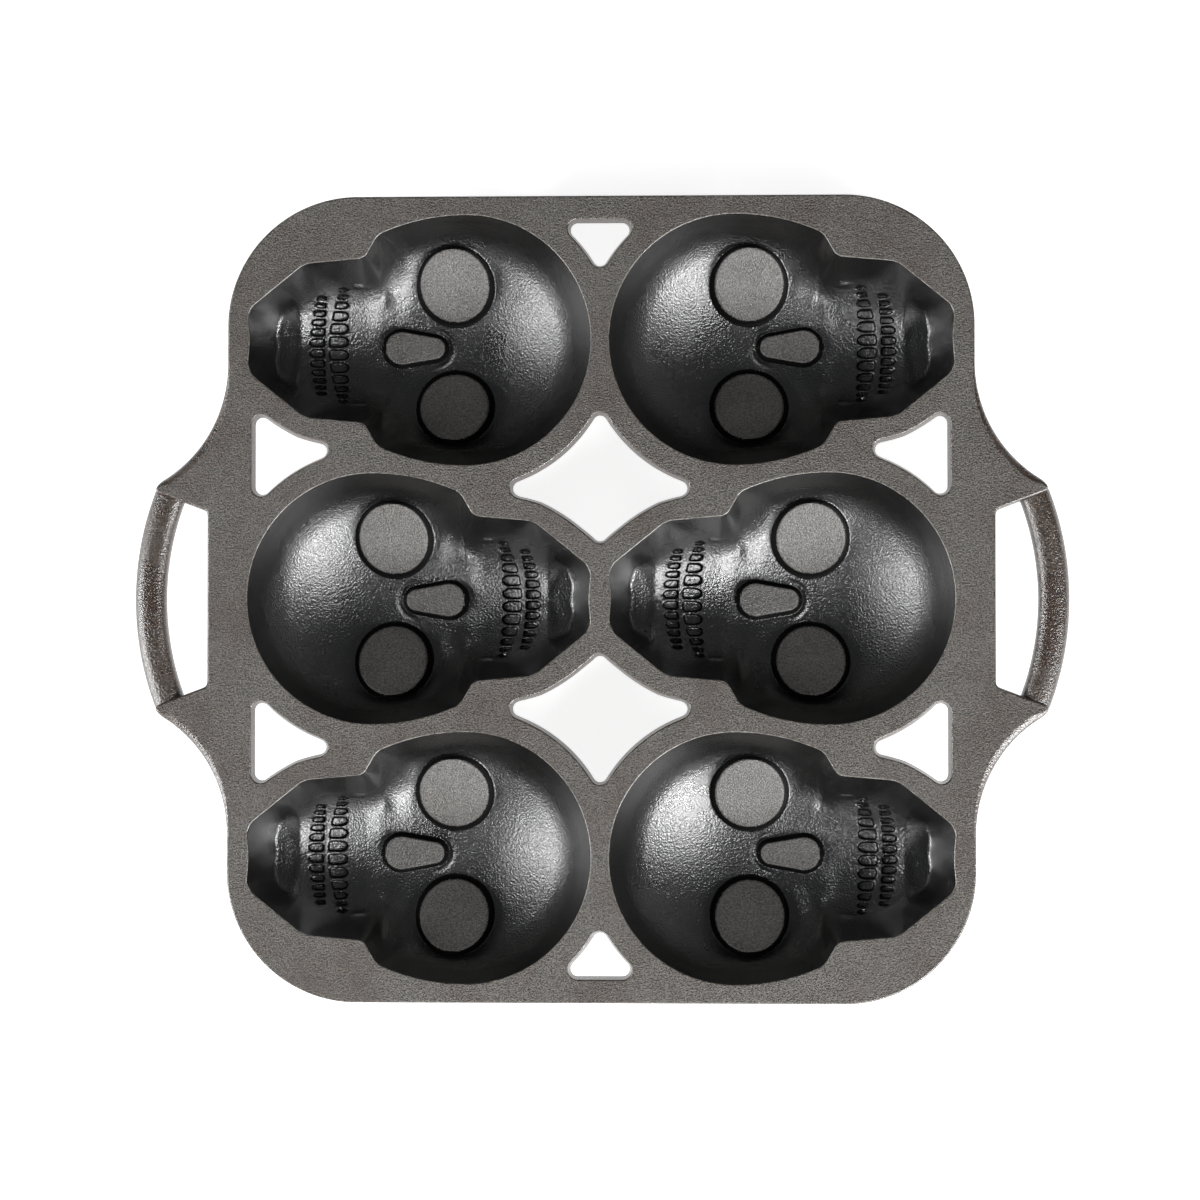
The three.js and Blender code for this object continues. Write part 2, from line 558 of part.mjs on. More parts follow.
function named(name, geometry, finish) {
  const mesh = new THREE.Mesh(geometry, new THREE.MeshStandardMaterial(finish));
  mesh.name = name;
  return mesh;
}

const pan = new THREE.Group();
const cavity = cavitySolid();
pan.add(named("deck_plate", geometryOf(deckSolid(cavity)), DECK_IRON));

const cupGeometry = geometryOf(cupSolid(cavity));
CUP_PLACES.forEach(({ name, x, y, turn }) => {
  const place = new THREE.Group();
  place.position.set(x, y, PAN_HEIGHT);
  place.rotation.z = turn;
  place.add(named(name, cupGeometry, CUP_IRON));
  pan.add(place);
});

const bar = barGeometry();
[
  { name: "handle_bar_right", turn: 0 },
  { name: "handle_bar_left", turn: Math.PI },
].forEach(({ name, turn }) => {
  const place = new THREE.Group();
  place.rotation.z = turn;
  place.add(named(name, bar, BAR_IRON));
  pan.add(place);
});

export default pan;
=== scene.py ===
# %% [markdown]
# # A cast iron cake pan with six skull cups
# The real pan is poured in one go: a flat deck, six cups that hang under it and a bowed bar at each
# end. This lesson repeats the sizes of the imported solids and lays a fine surface over each of them.

import bpy
import numpy as np
from mathutils import Matrix, Vector
from mathutils.geometry import delaunay_2d_cdt


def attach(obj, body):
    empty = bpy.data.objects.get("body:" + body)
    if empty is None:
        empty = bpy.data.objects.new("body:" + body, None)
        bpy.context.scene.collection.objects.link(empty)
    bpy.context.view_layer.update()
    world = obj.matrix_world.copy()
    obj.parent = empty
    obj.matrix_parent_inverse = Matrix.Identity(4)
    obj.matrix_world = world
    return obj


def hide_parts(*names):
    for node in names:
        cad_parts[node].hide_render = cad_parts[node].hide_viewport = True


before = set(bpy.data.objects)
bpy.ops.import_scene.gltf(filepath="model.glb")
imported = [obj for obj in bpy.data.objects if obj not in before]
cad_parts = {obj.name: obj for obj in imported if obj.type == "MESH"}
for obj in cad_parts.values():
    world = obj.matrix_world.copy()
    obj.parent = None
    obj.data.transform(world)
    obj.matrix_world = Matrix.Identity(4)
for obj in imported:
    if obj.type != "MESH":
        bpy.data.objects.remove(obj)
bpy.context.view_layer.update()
MM = 0.001
print("solids:", sorted(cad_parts))

# %% [markdown]
# ## The skull's outline
# A cup's mouth is a round cranium with a narrower jaw. It could be traced as a curve, but a formula
# for the distance to the rim serves better: the same number gives the rim, the sloping wall below it
# and the iron around it. Corners are rounded by taking a soft minimum instead of a sharp one.

# %% Sizes of the casting, in millimetres
CAVITY_DEPTH, WALL, FOOT_RELIEF, DECK_THICKNESS = 36.4, 4.5, 0.9, 6.0
WALL_SLOPE, CHIN_WALL_SLOPE = np.tan(np.radians([68, 77]))
PAN_HEIGHT = CAVITY_DEPTH + WALL - FOOT_RELIEF
OUTER_OFFSET = WALL * np.hypot(1, 1 / WALL_SLOPE) - DECK_THICKNESS / WALL_SLOPE
print("deck top at", PAN_HEIGHT, "mm")

# %% Sizes of one skull, in millimetres
SKULL_LENGTH, CRANIUM_RADIUS, TEMPLE_RADIUS, TEMPLE_REACH = 144.3, 52.6, 87.4, 37.0
JAW_HALF_WIDTH, JAW_REACH = 34.6, 24.0
CHEEK_ANGLE, JAW_TAPER, CHIN_ANGLE = np.radians([60, 5, 39])
CRANIUM_CENTRE = SKULL_LENGTH / 2 - CRANIUM_RADIUS
CHIN = -SKULL_LENGTH / 2
TEMPLE_HALF_WIDTH = CRANIUM_RADIUS - TEMPLE_RADIUS + np.sqrt(TEMPLE_RADIUS**2 - TEMPLE_REACH**2)
HINGE = CRANIUM_CENTRE - TEMPLE_REACH - (TEMPLE_HALF_WIDTH - JAW_HALF_WIDTH) / np.tan(CHEEK_ANGLE)
JAW_CORNER = JAW_HALF_WIDTH - (HINGE - CHIN - JAW_REACH) * np.tan(JAW_TAPER)
print("widest section", round(CRANIUM_CENTRE, 2), "mm and hinge", round(HINGE, 2), "mm from the middle")

# %% Distance to the rim
TEMPLE_ROUNDING, NOTCH_ROUNDING, JAW_ROUNDING, CHIN_ROUNDING = 1.4, 2.0, 1.6, 3.2
ROUNDING_GROWTH = 0.7
CHIN_DENT, CHIN_DENT_GROWTH, CHIN_DENT_RUN, CHIN_DENT_WIDTH = 0.7, 0.16, 10, 8.0


def smooth_min(a, b, blend):
    """The lesser of a and b, less (blend - |a - b|)^2 / (4 blend) where they are nearer than blend."""
    near = np.maximum(blend - np.abs(a - b), 0)
    return np.minimum(a, b) - near**2 / (4 * blend)


def corner_min(a, b, rounding):
    """A soft minimum whose blend grows with the distance from the rim."""
    return smooth_min(a, b, rounding + ROUNDING_GROWTH * np.abs(np.minimum(a, b)))


def bell(value, middle, width):
    """A bell curve: exp(-t^2) at t widths from the middle."""
    return np.exp(-(((value - middle) / width) ** 2))


def inset(x, y):
    """How far inside the rim a point lies: two arcs for the cranium, straight edges for cheek and jaw.
    x runs from chin to crown and y across. The chin's edge has a shallow dent in its middle."""
    aside, ahead = np.abs(y), x - CRANIUM_CENTRE

    def within(px, py, angle):
        return (x - px) * np.sin(angle) - (aside - py) * np.cos(angle)

    bow = np.where(ahead > 0, 0, TEMPLE_RADIUS - CRANIUM_RADIUS)
    dome = CRANIUM_RADIUS + bow - np.hypot(ahead, aside + bow)
    cheek = within(CRANIUM_CENTRE - TEMPLE_REACH, TEMPLE_HALF_WIDTH, CHEEK_ANGLE)
    cranium = corner_min(dome, cheek, TEMPLE_ROUNDING)
    side = within(HINGE, JAW_HALF_WIDTH, JAW_TAPER)
    slant = within(CHIN + JAW_REACH, JAW_CORNER, CHIN_ANGLE)
    dent = CHIN_DENT + CHIN_DENT_GROWTH * np.clip(x - CHIN, 0, CHIN_DENT_RUN)
    chin = x - CHIN - dent * bell(y, 0, CHIN_DENT_WIDTH)
    front = corner_min(corner_min(side, slant, JAW_ROUNDING), chin, CHIN_ROUNDING)
    return -corner_min(-cranium, -np.minimum(front, -ahead), NOTCH_ROUNDING)


print("inset at the middle of the cranium:", round(float(inset(CRANIUM_CENTRE, 0.0)), 1), "mm")

# %% [markdown]
# ## The bowl of a cup
# A cake comes out as the face of a skull, so the cup holds its negative. Sculpting would be one way.
# Here the depth below the deck is written as a function of x and y, one feature at a time, so that
# every size is a number which can be read off the pan. First comes the plain bowl: deepest under the
# cranium, shallower at the teeth, with a sloping wall all round.

# %% Floor of the bowl
DOME_RISE, DOME_POWER = 0.68, 2.2
BROW_RISE, BROW_LIMIT, BROW_BLEND = 0.13, 0.235, 0.06
MUZZLE_RISE, MUZZLE_POWER, MUZZLE_EDGE, LEAST_DEPTH = 0.5, 2.0, 1.1, 0.03
JAW_STEP, CHEEK_STEP, CHEEK_ASIDE, CHEEK_HEIGHT = (-3.0, 5.0), (9.0, 18.0), (8, 24), 1.8


def smoothstep(value, low, high):
    """0 below low, 1 above high and 3 t^2 - 2 t^3 between them."""
    t = np.clip((value - low) / (high - low), 0, 1)
    return t * t * (3 - 2 * t)


def floor_depth(x, y):
    """A round bowl under the cranium that steps up at the cheeks, and a narrow bowl under the muzzle.
    The floor rises from the cranium towards the teeth and is level at the chin."""
    ahead, aside = (x - CRANIUM_CENTRE) / CRANIUM_RADIUS, np.abs(y) / CRANIUM_RADIUS
    crown, brow = np.maximum(ahead, 0), np.maximum(-ahead, 0)
    cheek = CHEEK_HEIGHT / CAVITY_DEPTH * (1 - smoothstep(x - HINGE, *CHEEK_STEP))
    cheek = cheek * smoothstep(np.abs(y), *CHEEK_ASIDE)
    dome = DOME_RISE * np.hypot(crown, aside) ** DOME_POWER + cheek
    muzzle = MUZZLE_RISE * np.minimum(np.abs(y) / JAW_HALF_WIDTH, MUZZLE_EDGE) ** MUZZLE_POWER
    share = smoothstep(x - HINGE, *JAW_STEP)
    rise = smooth_min(BROW_RISE * brow**2, BROW_LIMIT, BROW_BLEND)
    return CAVITY_DEPTH * np.maximum(1 - rise - share * dome - (1 - share) * muzzle, LEAST_DEPTH)


print("floor under the cranium:", round(float(floor_depth(CRANIUM_CENTRE, 0.0)), 1), "mm deep")

# %% Wall of the bowl
FLOOR_FILLET, CHIN_FILLET, CHIN_FRONT, FILLET_SHARE = 13.0, 3.0, (9.0, 20.0), 0.9


def wall_slope(x):
    """Fall of the wall over its run, which is steeper at the chin's front."""
    return CHIN_WALL_SLOPE + (WALL_SLOPE - CHIN_WALL_SLOPE) * smoothstep(x - CHIN, *CHIN_FRONT)


def bowl_depth(x, y):
    """Wall and floor, blended over a fillet, which is narrow at the chin and where the bowl is shallow."""
    floor = floor_depth(x, y)
    fillet = CHIN_FILLET + (FLOOR_FILLET - CHIN_FILLET) * smoothstep(x - CHIN, *CHIN_FRONT)
    return smooth_min(inset(x, y) * wall_slope(x), floor, np.minimum(fillet, FILLET_SHARE * floor))


print("bowl under the muzzle:", round(float(bowl_depth((HINGE + CHIN) / 2, 0.0)), 1), "mm deep")

# %% [markdown]
# ## Eyes and nose
# On the pan these are flat pads that stand up from the bowl, each with a groove round it, so that the
# cake gets flat sockets with a clear edge. A Boolean with a cylinder would leave hard corners. Here
# the distance to a pad's outline mixes the pad's own plane with the bowl over a narrow ring.

# %% Eye pads
EYE_PLACE, EYE_ASIDE, EYE_RADIUS = CRANIUM_CENTRE - 6.5, 26.0, 14.7
EYE_HEIGHT, EYE_RING, EYE_SLOPE = 6.6, 2.3, 0.56
PAD_ROUNDING, RING_ROUNDING, GROOVE_DEPTH = 0.3, 0.08, 0.9


def ring_share(distance, width):
    """0 on a pad, 1 beyond its ring, and a straight slope between them with both ends rounded."""
    t = distance / width
    slope = -smooth_min(np.zeros_like(t), -t, PAD_ROUNDING)
    return smooth_min(np.ones_like(t), slope, RING_ROUNDING)


def groove(distance, width):
    """Depth of the shallow groove round a pad: a parabola over the width of its ring."""
    t = np.clip(distance / width, 0, 1)
    return GROOVE_DEPTH * 4 * t * (1 - t)


def eye_distance(x, y):
    """Distance outside the nearer eye's circle."""
    return np.hypot(x - EYE_PLACE, np.abs(y) - EYE_ASIDE) - EYE_RADIUS


def eye_plane(y):
    """Depth of the flat top of an eye pad, which leans with the bowl."""
    return floor_depth(EYE_PLACE, EYE_ASIDE) - EYE_HEIGHT - EYE_SLOPE * (np.abs(y) - EYE_ASIDE)


print("eye pads lean", round(float(np.degrees(np.arctan(EYE_SLOPE))), 1), "degrees")

# %% Nose pad and the collar at its narrow end
NOSE_TIP, NOSE_TIP_RADIUS = CRANIUM_CENTRE - 15.9, 4.6
NOSE_ROOT, NOSE_ROOT_RADIUS = CRANIUM_CENTRE - 29.7, 7.0
NOSE_HEIGHT, NOSE_RING, NOSE_SLOPE = 4.4, 1.8, 0.09
COLLAR_HEIGHT, COLLAR_REACH, COLLAR_WIDTH = 0.6, 3.4, 0.9
COLLAR_SPAN = (NOSE_TIP - 2, NOSE_TIP + 5)


def nose_distance(x, y):
    """Distance outside two circles of unlike size and the straight edges that touch both."""
    along, across, length = x - NOSE_ROOT, np.abs(y), NOSE_TIP - NOSE_ROOT
    lean = (NOSE_ROOT_RADIUS - NOSE_TIP_RADIUS) / length
    rise = np.sqrt(1 - lean**2)
    place = rise * along - lean * across
    edge = rise * across + lean * along - NOSE_ROOT_RADIUS
    root = np.hypot(along, across) - NOSE_ROOT_RADIUS
    tip = np.hypot(along - length, across) - NOSE_TIP_RADIUS
    return np.where(place < 0, root, np.where(place > rise * length, tip, edge))


def nose_plane(x):
    """Depth of the flat top of the nose pad."""
    middle = (NOSE_TIP + NOSE_ROOT) / 2
    return floor_depth(middle, 0.0) - NOSE_HEIGHT + NOSE_SLOPE * (x - middle)


def nose_collar(x, y):
    """Height of the low ridge that bends round the narrow end of the nose."""
    ridge = bell(nose_distance(x, y), COLLAR_REACH, COLLAR_WIDTH)
    return COLLAR_HEIGHT * ridge * smoothstep(x, *COLLAR_SPAN)


print("nose:", round(NOSE_TIP - NOSE_ROOT + NOSE_TIP_RADIUS + NOSE_ROOT_RADIUS, 1), "mm long")

# %% [markdown]
# ## Teeth
# Two rows of small pits give the cake its teeth, and a tooth is narrower the further it stands from
# the middle. One modelled tooth could be copied by an Array modifier, but then all would be alike. So
# each row lists the borders between its teeth, and every point looks up the tooth that it lies in.

# %% Two rows of teeth
TOOTH_ROWS = (
    {"bite": -42.1, "bite_bow": 5.0, "root": -32.8, "root_bow": 0.8,
     "borders": np.array([0, 5.6, 11.1, 16.0, 19.8, 22.6, 25])},
    {"bite": -43.0, "bite_bow": 2.2, "root": -50.4, "root_bow": 5.2,
     "borders": np.array([0, 4.6, 8.9, 12.7, 16.1, 19.0, 21.6])},
)
TOOTH_DEPTH, TOOTH_MARGIN, TOOTH_WALL, TOOTH_HALF_ROW = 1.8, 0.15, 1.0, 22.0
BITE_POWER, ROOT_POWER, LEAST_SIZE = 4.0, 2.2, 1e-6


def tooth_pits(x, y):
    """Depth of the pits. A tooth is |a|^n + |b|^n < 1 in its own half length and width, with n =
    BITE_POWER for a square end at the bite and n = ROOT_POWER for a round end at the root. Inside a
    margin its wall slopes over TOOTH_WALL."""
    aside = np.abs(y)
    bow = (aside / TOOTH_HALF_ROW) ** 2
    pits = np.zeros_like(aside)
    for row in TOOTH_ROWS:
        borders = row["borders"]
        tooth = np.clip(np.searchsorted(borders, aside, side="right") - 1, 0, len(borders) - 2)
        low, high = borders[tooth], borders[tooth + 1]
        bite, root = row["bite"] + row["bite_bow"] * bow, row["root"] + row["root_bow"] * bow
        half_length, half_width = np.abs(bite - root) / 2, (high - low) / 2
        along = (x - (bite + root) / 2) * np.sign(row["bite"] - row["root"]) / half_length
        across = (aside - (high + low) / 2) / half_width
        power = np.where(along > 0, BITE_POWER, ROOT_POWER)
        size = (np.abs(along) ** power + np.abs(across) ** power) ** (1 / power)
        size = np.maximum(size, LEAST_SIZE)
        steep_along = (np.abs(along) / size) ** (power - 1) / half_length
        steep_across = (np.abs(across) / size) ** (power - 1) / half_width
        inward = (1 - size) / np.hypot(steep_along, steep_across)
        pits += TOOTH_DEPTH * smoothstep(inward, TOOTH_MARGIN, TOOTH_MARGIN + TOOTH_WALL)
    return pits


print("teeth in a cup:", sum(2 * len(row["borders"]) - 2 for row in TOOTH_ROWS))

# %% [markdown]
# ## Cheeks and jaw
# A shallow groove crosses each cheek, and a short thin ledge runs along the jaw's side. Both could be
# carved with a brush. A bell curve across and a soft start and end along it do the same, and leave
# every width in plain sight.

# %% Groove across each cheek, and a ledge beside the jaw's hinge
CHEEK_GROOVE, CHEEK_GROOVE_WIDTH, CHEEK_GROOVE_PLACE = 0.9, 1.9, HINGE + 5.6
CHEEK_GROOVE_START, CHEEK_GROOVE_END = (15, 23), (33, 40)
LEDGE_HEIGHT, LEDGE_ASIDE, LEDGE_WIDTH = 0.7, 25.0, 0.7
LEDGE_START, LEDGE_END = (HINGE - 8, HINGE - 6), (HINGE - 2, HINGE - 1)


def cheek_groove(x, y):
    """Depth of a shallow groove across the cheek, which fades towards the nose and the wall."""
    fade = smoothstep(np.abs(y), *CHEEK_GROOVE_START) * (1 - smoothstep(np.abs(y), *CHEEK_GROOVE_END))
    return CHEEK_GROOVE * fade * bell(x, CHEEK_GROOVE_PLACE, CHEEK_GROOVE_WIDTH)


def jaw_ledge(x, y):
    """Height of a short thin ridge on the jaw's side."""
    span = smoothstep(x, *LEDGE_START) * (1 - smoothstep(x, *LEDGE_END))
    return LEDGE_HEIGHT * span * bell(np.abs(y), LEDGE_ASIDE, LEDGE_WIDTH)


print("cheek groove", CHEEK_GROOVE, "mm deep, ledge", LEDGE_HEIGHT, "mm high")

# %% [markdown]
# ## The whole face
# All the features meet in one function. Separate meshes could be joined instead, but their seams
# would show. Sums of depths have none. The pads come last, because they replace what is under them.

# %% Depth of the whole face
def face_depth(x, y):
    """The bowl, raised at the pads, the collar and the ledge, and sunk at the teeth and the grooves."""
    depth = bowl_depth(x, y) - nose_collar(x, y) - jaw_ledge(x, y)
    depth = depth + cheek_groove(x, y) + tooth_pits(x, y)
    for distance, width, plane in (
        (eye_distance(x, y), EYE_RING, eye_plane(y)),
        (nose_distance(x, y), NOSE_RING, nose_plane(x)),
    ):
        share = ring_share(distance, width)
        depth = share * depth + (1 - share) * plane + groove(distance, width)
    return depth


print("middle of an eye pad:", round(float(face_depth(EYE_PLACE, EYE_ASIDE)), 1), "mm below the deck")

# %% [markdown]
# ## From rings of points to a mesh
# Every piece here is made of rings of points, with quads between them. A modelled mesh would be
# edited by hand. Whole arrays of points make the same mesh on each run, and fast.

# %% Faces between rings
FINE_STEPS = 4001


def spread(count, low, high, weight):
    """count values from low up to high, closer together where weight is larger."""
    fine = np.linspace(low, high, FINE_STEPS)
    total = np.concatenate([[0], np.cumsum(weight(fine)[:-1])])
    return np.interp(np.arange(count) * total[-1] / count, total, fine)


def strips(first, rings, around):
    """Quads between neighbouring rings of equal length, whose points are numbered on from first."""
    ring, place = np.meshgrid(np.arange(rings - 1), np.arange(around), indexing="ij")
    here, there, after = ring * around, (ring + 1) * around, (place + 1) % around
    return first + np.stack([here + place, there + place, there + after, here + after], -1).reshape(-1, 4)


def fan(pole, first, around, inward):
    """Triangles from a pole to one ring. inward turns them over."""
    place = np.arange(around)
    after = (place + 1) % around
    pair = (after, place) if inward else (place, after)
    return np.stack([np.full(around, pole), first + pair[0], first + pair[1]], -1)


def closed(rings, around):
    """Quads between rings numbered on from 2, and fans that close both ends at the points 0 and 1."""
    last = 2 + (rings - 1) * around
    ends = np.concatenate([fan(0, 2, around, False), fan(1, last, around, True)])
    return strips(2, rings, around), ends


print("a tube of 3 rings of 4 points has", sum(len(faces) for faces in closed(3, 4)), "faces")

# %% A mesh object
SHARP_ANGLE = np.radians(40)


def piece(name, points, quads, triangles, flat=0):
    """A mesh object from points in millimetres. The last flat triangles are shaded flat."""
    mesh = bpy.data.meshes.new(name)
    corners = np.concatenate([quads.ravel(), triangles.ravel()]).astype(np.int32)
    sizes = np.concatenate([np.full(len(quads), 4), np.full(len(triangles), 3)])
    starts = np.concatenate([[0], np.cumsum(sizes)[:-1]]).astype(np.int32)
    smooth = np.arange(len(sizes)) < len(sizes) - flat
    mesh.vertices.add(len(points))
    mesh.vertices.foreach_set("co", (np.asarray(points) * MM).astype(np.float32).ravel())
    mesh.loops.add(len(corners))
    mesh.loops.foreach_set("vertex_index", corners)
    mesh.polygons.add(len(sizes))
    mesh.polygons.foreach_set("loop_start", starts)
    mesh.polygons.foreach_set("use_smooth", smooth)
    mesh.update(calc_edges=True)
    state = "mended" if mesh.validate() else "sound"
    mesh.set_sharp_from_angle(angle=SHARP_ANGLE)
    made = bpy.data.objects.new(name, mesh)
    bpy.context.scene.collection.objects.link(made)
    print(name, "-", len(points), "points,", int((sizes - 2).sum()), "triangles,", state)
    return made


# %% [markdown]
# ## The cups
# Each cup is a closed shell: the face inside, an even wall of iron and a rounded outside with a small
# ground foot. Rays leave one point inside the skull and meet the rim everywhere, so rings along these
# rays make a grid of quads that follows the rim exactly. The rays stand closer towards the teeth.

# %% Rays, and where they meet a level
SPOKE = CRANIUM_CENTRE - CRANIUM_RADIUS / 5
RAYS, CHIN_SECTOR, CHIN_EXTRA, HALVINGS = 520, 0.42, 1.6, 40
rays = spread(RAYS, 0, 2 * np.pi, lambda a: 1 + CHIN_EXTRA * (np.abs(a - np.pi) < CHIN_SECTOR))
ray_x, ray_y = np.cos(rays), np.sin(rays)


def halve_in(start, way_x, way_y, limit, is_inside):
    """Distance along each ray up to which is_inside(x, y) holds, found by halving."""
    near, far = np.zeros(len(way_x)), np.full(len(way_x), limit)
    for _ in range(HALVINGS):
        middle = (near + far) / 2
        kept = is_inside(start[0] + middle * way_x, start[1] + middle * way_y)
        near, far = np.where(kept, middle, near), np.where(kept, far, middle)
    return near


def reach(level):
    """Distance along each ray of a cup at which level(x, y) falls to zero."""
    return halve_in((SPOKE, 0), ray_x, ray_y, SKULL_LENGTH, lambda x, y: level(x, y) > 0)


seam_reach = reach(lambda x, y: bowl_depth(x, y) - DECK_THICKNESS)
outer_reach = reach(lambda x, y: inset(x, y) + OUTER_OFFSET)
print("seam along the rays, mm:", seam_reach.min().round(1), "to", seam_reach.max().round(1))

# %% [markdown]
# ## Outside of a cup
# A founder keeps the wall even, because iron of uneven thickness cracks as it cools, and grinds the
# lowest spot flat. A Solidify modifier would give an even wall too, but no foot and no hollows behind
# the pads, so the outside has its own depth function.

# %% Depth of the outside
HOLLOW_RING, FOOT_EDGE, OUTSIDE_FILLET_SHARE = 3.0, 0.4, 0.5


def cup_depth(x, y):
    """Outer wall and bottom at an even distance from the bowl, ground flat at the foot. Behind each eye
    is a hollow whose edge lies one wall inside the pad's edge."""
    wall = DECK_THICKNESS + (inset(x, y) + OUTER_OFFSET) * wall_slope(x)
    share = CRANIUM_RADIUS / (CRANIUM_RADIUS + WALL / 2)
    bottom = floor_depth(CRANIUM_CENTRE + (x - CRANIUM_CENTRE) * share, y * share) + WALL
    depth = smooth_min(wall, bottom, np.minimum(FLOOR_FILLET, OUTSIDE_FILLET_SHARE * bottom))
    eye = ring_share(eye_distance(x, y) + WALL, HOLLOW_RING)
    depth = eye * depth + (1 - eye) * np.minimum(depth, eye_plane(y) + WALL)
    return np.maximum(smooth_min(depth, PAN_HEIGHT, FOOT_EDGE), DECK_THICKNESS)


print("lowest point of a cup:", round(float(PAN_HEIGHT - cup_depth(CRANIUM_CENTRE, 0.0)), 2), "mm")

# %% Rings of one shell
FACE_RINGS, OUTSIDE_RINGS = 130, 26
FIRST_SHARE, LAST_SHARE, TEETH_SHARES = 0.004, 0.02, (0.5, 0.78)


def ring_weight(share):
    """Rings stand twice as close where the teeth are."""
    return 1 + ((share > TEETH_SHARES[0]) & (share < TEETH_SHARES[1]))


def rings_of(shares, far, depth):
    """Rings at shares of the way to far, each point at its depth below the deck."""
    x, y = SPOKE + shares[:, None] * far * ray_x, shares[:, None] * far * ray_y
    return np.stack([x, y, PAN_HEIGHT - depth(x, y)], -1)


face_shares = np.append(spread(FACE_RINGS, FIRST_SHARE, 1, ring_weight)[:-1], 1.0)
outside_shares = np.linspace(1, LAST_SHARE, OUTSIDE_RINGS)
inner = rings_of(face_shares, seam_reach, face_depth)
outer = rings_of(outside_shares, outer_reach, cup_depth)
inner[-1, :, 2] = outer[0, :, 2] = PAN_HEIGHT - DECK_THICKNESS
poles = np.array([[SPOKE, 0, PAN_HEIGHT - depth(SPOKE, 0.0)] for depth in (face_depth, cup_depth)])
shell = np.concatenate([poles, inner.reshape(-1, 3), outer.reshape(-1, 3)])
shell_quads, shell_fans = closed(FACE_RINGS + OUTSIDE_RINGS, RAYS)
print("shell:", shell.min(0).round(1), "to", shell.max(0).round(1), "mm")

# %% [markdown]
# ## Where each finish lies in a cup
# The mould was smoothed on the walls, sandy on the floor and sandier outside. The rings round the
# pads and the walls of the teeth are painted dull black as shade, and the pads a light grey as painted
# sheen. Such borders could be painted by hand. Here each face looks up its finish from the place of its
# middle, and each point carries a share of sand, called sand, for the floor.

# %% Finish of each face, and the share of sand at each point
SMOOTH_FACE, PAD_FACE, GROOVE_FACE, OUTSIDE_FACE = range(4)
TOOTH_WALL_SHARES, SAND_SHARES = (0.06, 0.94), (0.6, 1.3)


def on_pad(x, y):
    """Whether a point lies on the flat of an eye or the nose."""
    return (eye_distance(x, y) < 0) | (nose_distance(x, y) < 0)


def in_groove(x, y):
    """Whether a point lies in the ring round a pad or on the wall of a tooth."""
    ring = (eye_distance(x, y) < EYE_RING) | (nose_distance(x, y) < NOSE_RING)
    tooth = tooth_pits(x, y) / TOOTH_DEPTH
    return (ring & ~on_pad(x, y)) | ((tooth > TOOTH_WALL_SHARES[0]) & (tooth < TOOTH_WALL_SHARES[1]))


middle_x, middle_y = shell[shell_quads, :2].mean(1).T
# Rings round the pads and walls of the teeth take a dull black, which is painted shade.
face_finish = np.where(in_groove(middle_x, middle_y), GROOVE_FACE, SMOOTH_FACE)
# Pads take a light grey, which is painted sheen on black iron.
face_finish = np.where(on_pad(middle_x, middle_y), PAD_FACE, face_finish)
face_finish[(FACE_RINGS - 1) * RAYS:] = OUTSIDE_FACE
fan_finish = np.repeat([SMOOTH_FACE, OUTSIDE_FACE], RAYS)
shell_finish = np.concatenate([face_finish, fan_finish]).astype(np.int32)
shell_x, shell_y = shell[:, 0], shell[:, 1]
wall_share = inset(shell_x, shell_y) * wall_slope(shell_x) / floor_depth(shell_x, shell_y)
shell_sand = smoothstep(wall_share, *SAND_SHARES).astype(np.float32)
print("faces of each finish in a cup:", np.bincount(shell_finish))

# %% Six places for the shell
CUP_GAP = 2.7
WEB = 2 * OUTER_OFFSET + CUP_GAP
MIDDLE_HALF_WIDTH = CRANIUM_RADIUS - TEMPLE_RADIUS + np.sqrt(TEMPLE_RADIUS**2 - CRANIUM_CENTRE**2)
COLUMN, ROW = (SKULL_LENGTH + WEB) / 2, 2 * MIDDLE_HALF_WIDTH + WEB
CUPS = {
    f"skull_cup_{row}_{side}": (sx * COLUMN, sy * ROW, sx * (1 if sy == 0 else -1))
    for row, sy in (("back", 1), ("middle", 0), ("front", -1))
    for side, sx in (("left", -1), ("right", 1))
}
cups = {}
for node, (cx, cy, facing) in CUPS.items():
    placed = shell * [facing, facing, 1] + [cx, cy, 0]
    cups[node] = piece(node.replace("skull_", ""), placed, shell_quads, shell_fans)
    cups[node].data.attributes.new("sand", "FLOAT", "POINT").data.foreach_set("value", shell_sand)

# %% [markdown]
# ## The deck
# The deck is a plate with six mouths, eight windows and a curved outline. A plate with a Bevel
# modifier would round all its edges alike, but on the pan the edge widens towards the handles and
# the mouths run into the cups. So each edge is a profile carried round its own loop, and the two flat
# faces are filled in between the loops. The outline comes first: arcs that touch each other.

# %% Arcs and loops
LOOP_STEP = 0.8


def arc(cx, cy, radius, start, end):
    """Points on an arc, about LOOP_STEP apart."""
    count = max(3, int(abs(end - start) * radius / LOOP_STEP) + 1)
    angle = np.linspace(start, end, count)
    return np.stack([cx + radius * np.cos(angle), cy + radius * np.sin(angle)], -1)


def rounded(before, corner, after, radius):
    """The arc of a radius that touches both straight edges of a corner."""
    a, b = (v / np.linalg.norm(v) for v in (before - corner, after - corner))
    half = np.arccos(np.dot(a, b)) / 2
    middle = corner + (a + b) / np.linalg.norm(a + b) * radius / np.sin(half)
    start = corner + a * radius / np.tan(half) - middle
    end = corner + b * radius / np.tan(half) - middle
    turn = np.arctan2(start[0] * end[1] - start[1] * end[0], np.dot(start, end))
    first = np.arctan2(start[1], start[0])
    return arc(middle[0], middle[1], radius, first, first + turn)


def even_loop(points, step):
    """The closed polyline again, with points about one step apart."""
    closed_line = np.vstack([points, points[:1]])
    run = np.concatenate([[0], np.cumsum(np.linalg.norm(np.diff(closed_line, axis=0), axis=1))])
    count = int(run[-1] / step)
    places = np.arange(count) * run[-1] / count
    return np.stack([np.interp(places, run, closed_line[:, k]) for k in (0, 1)], -1)


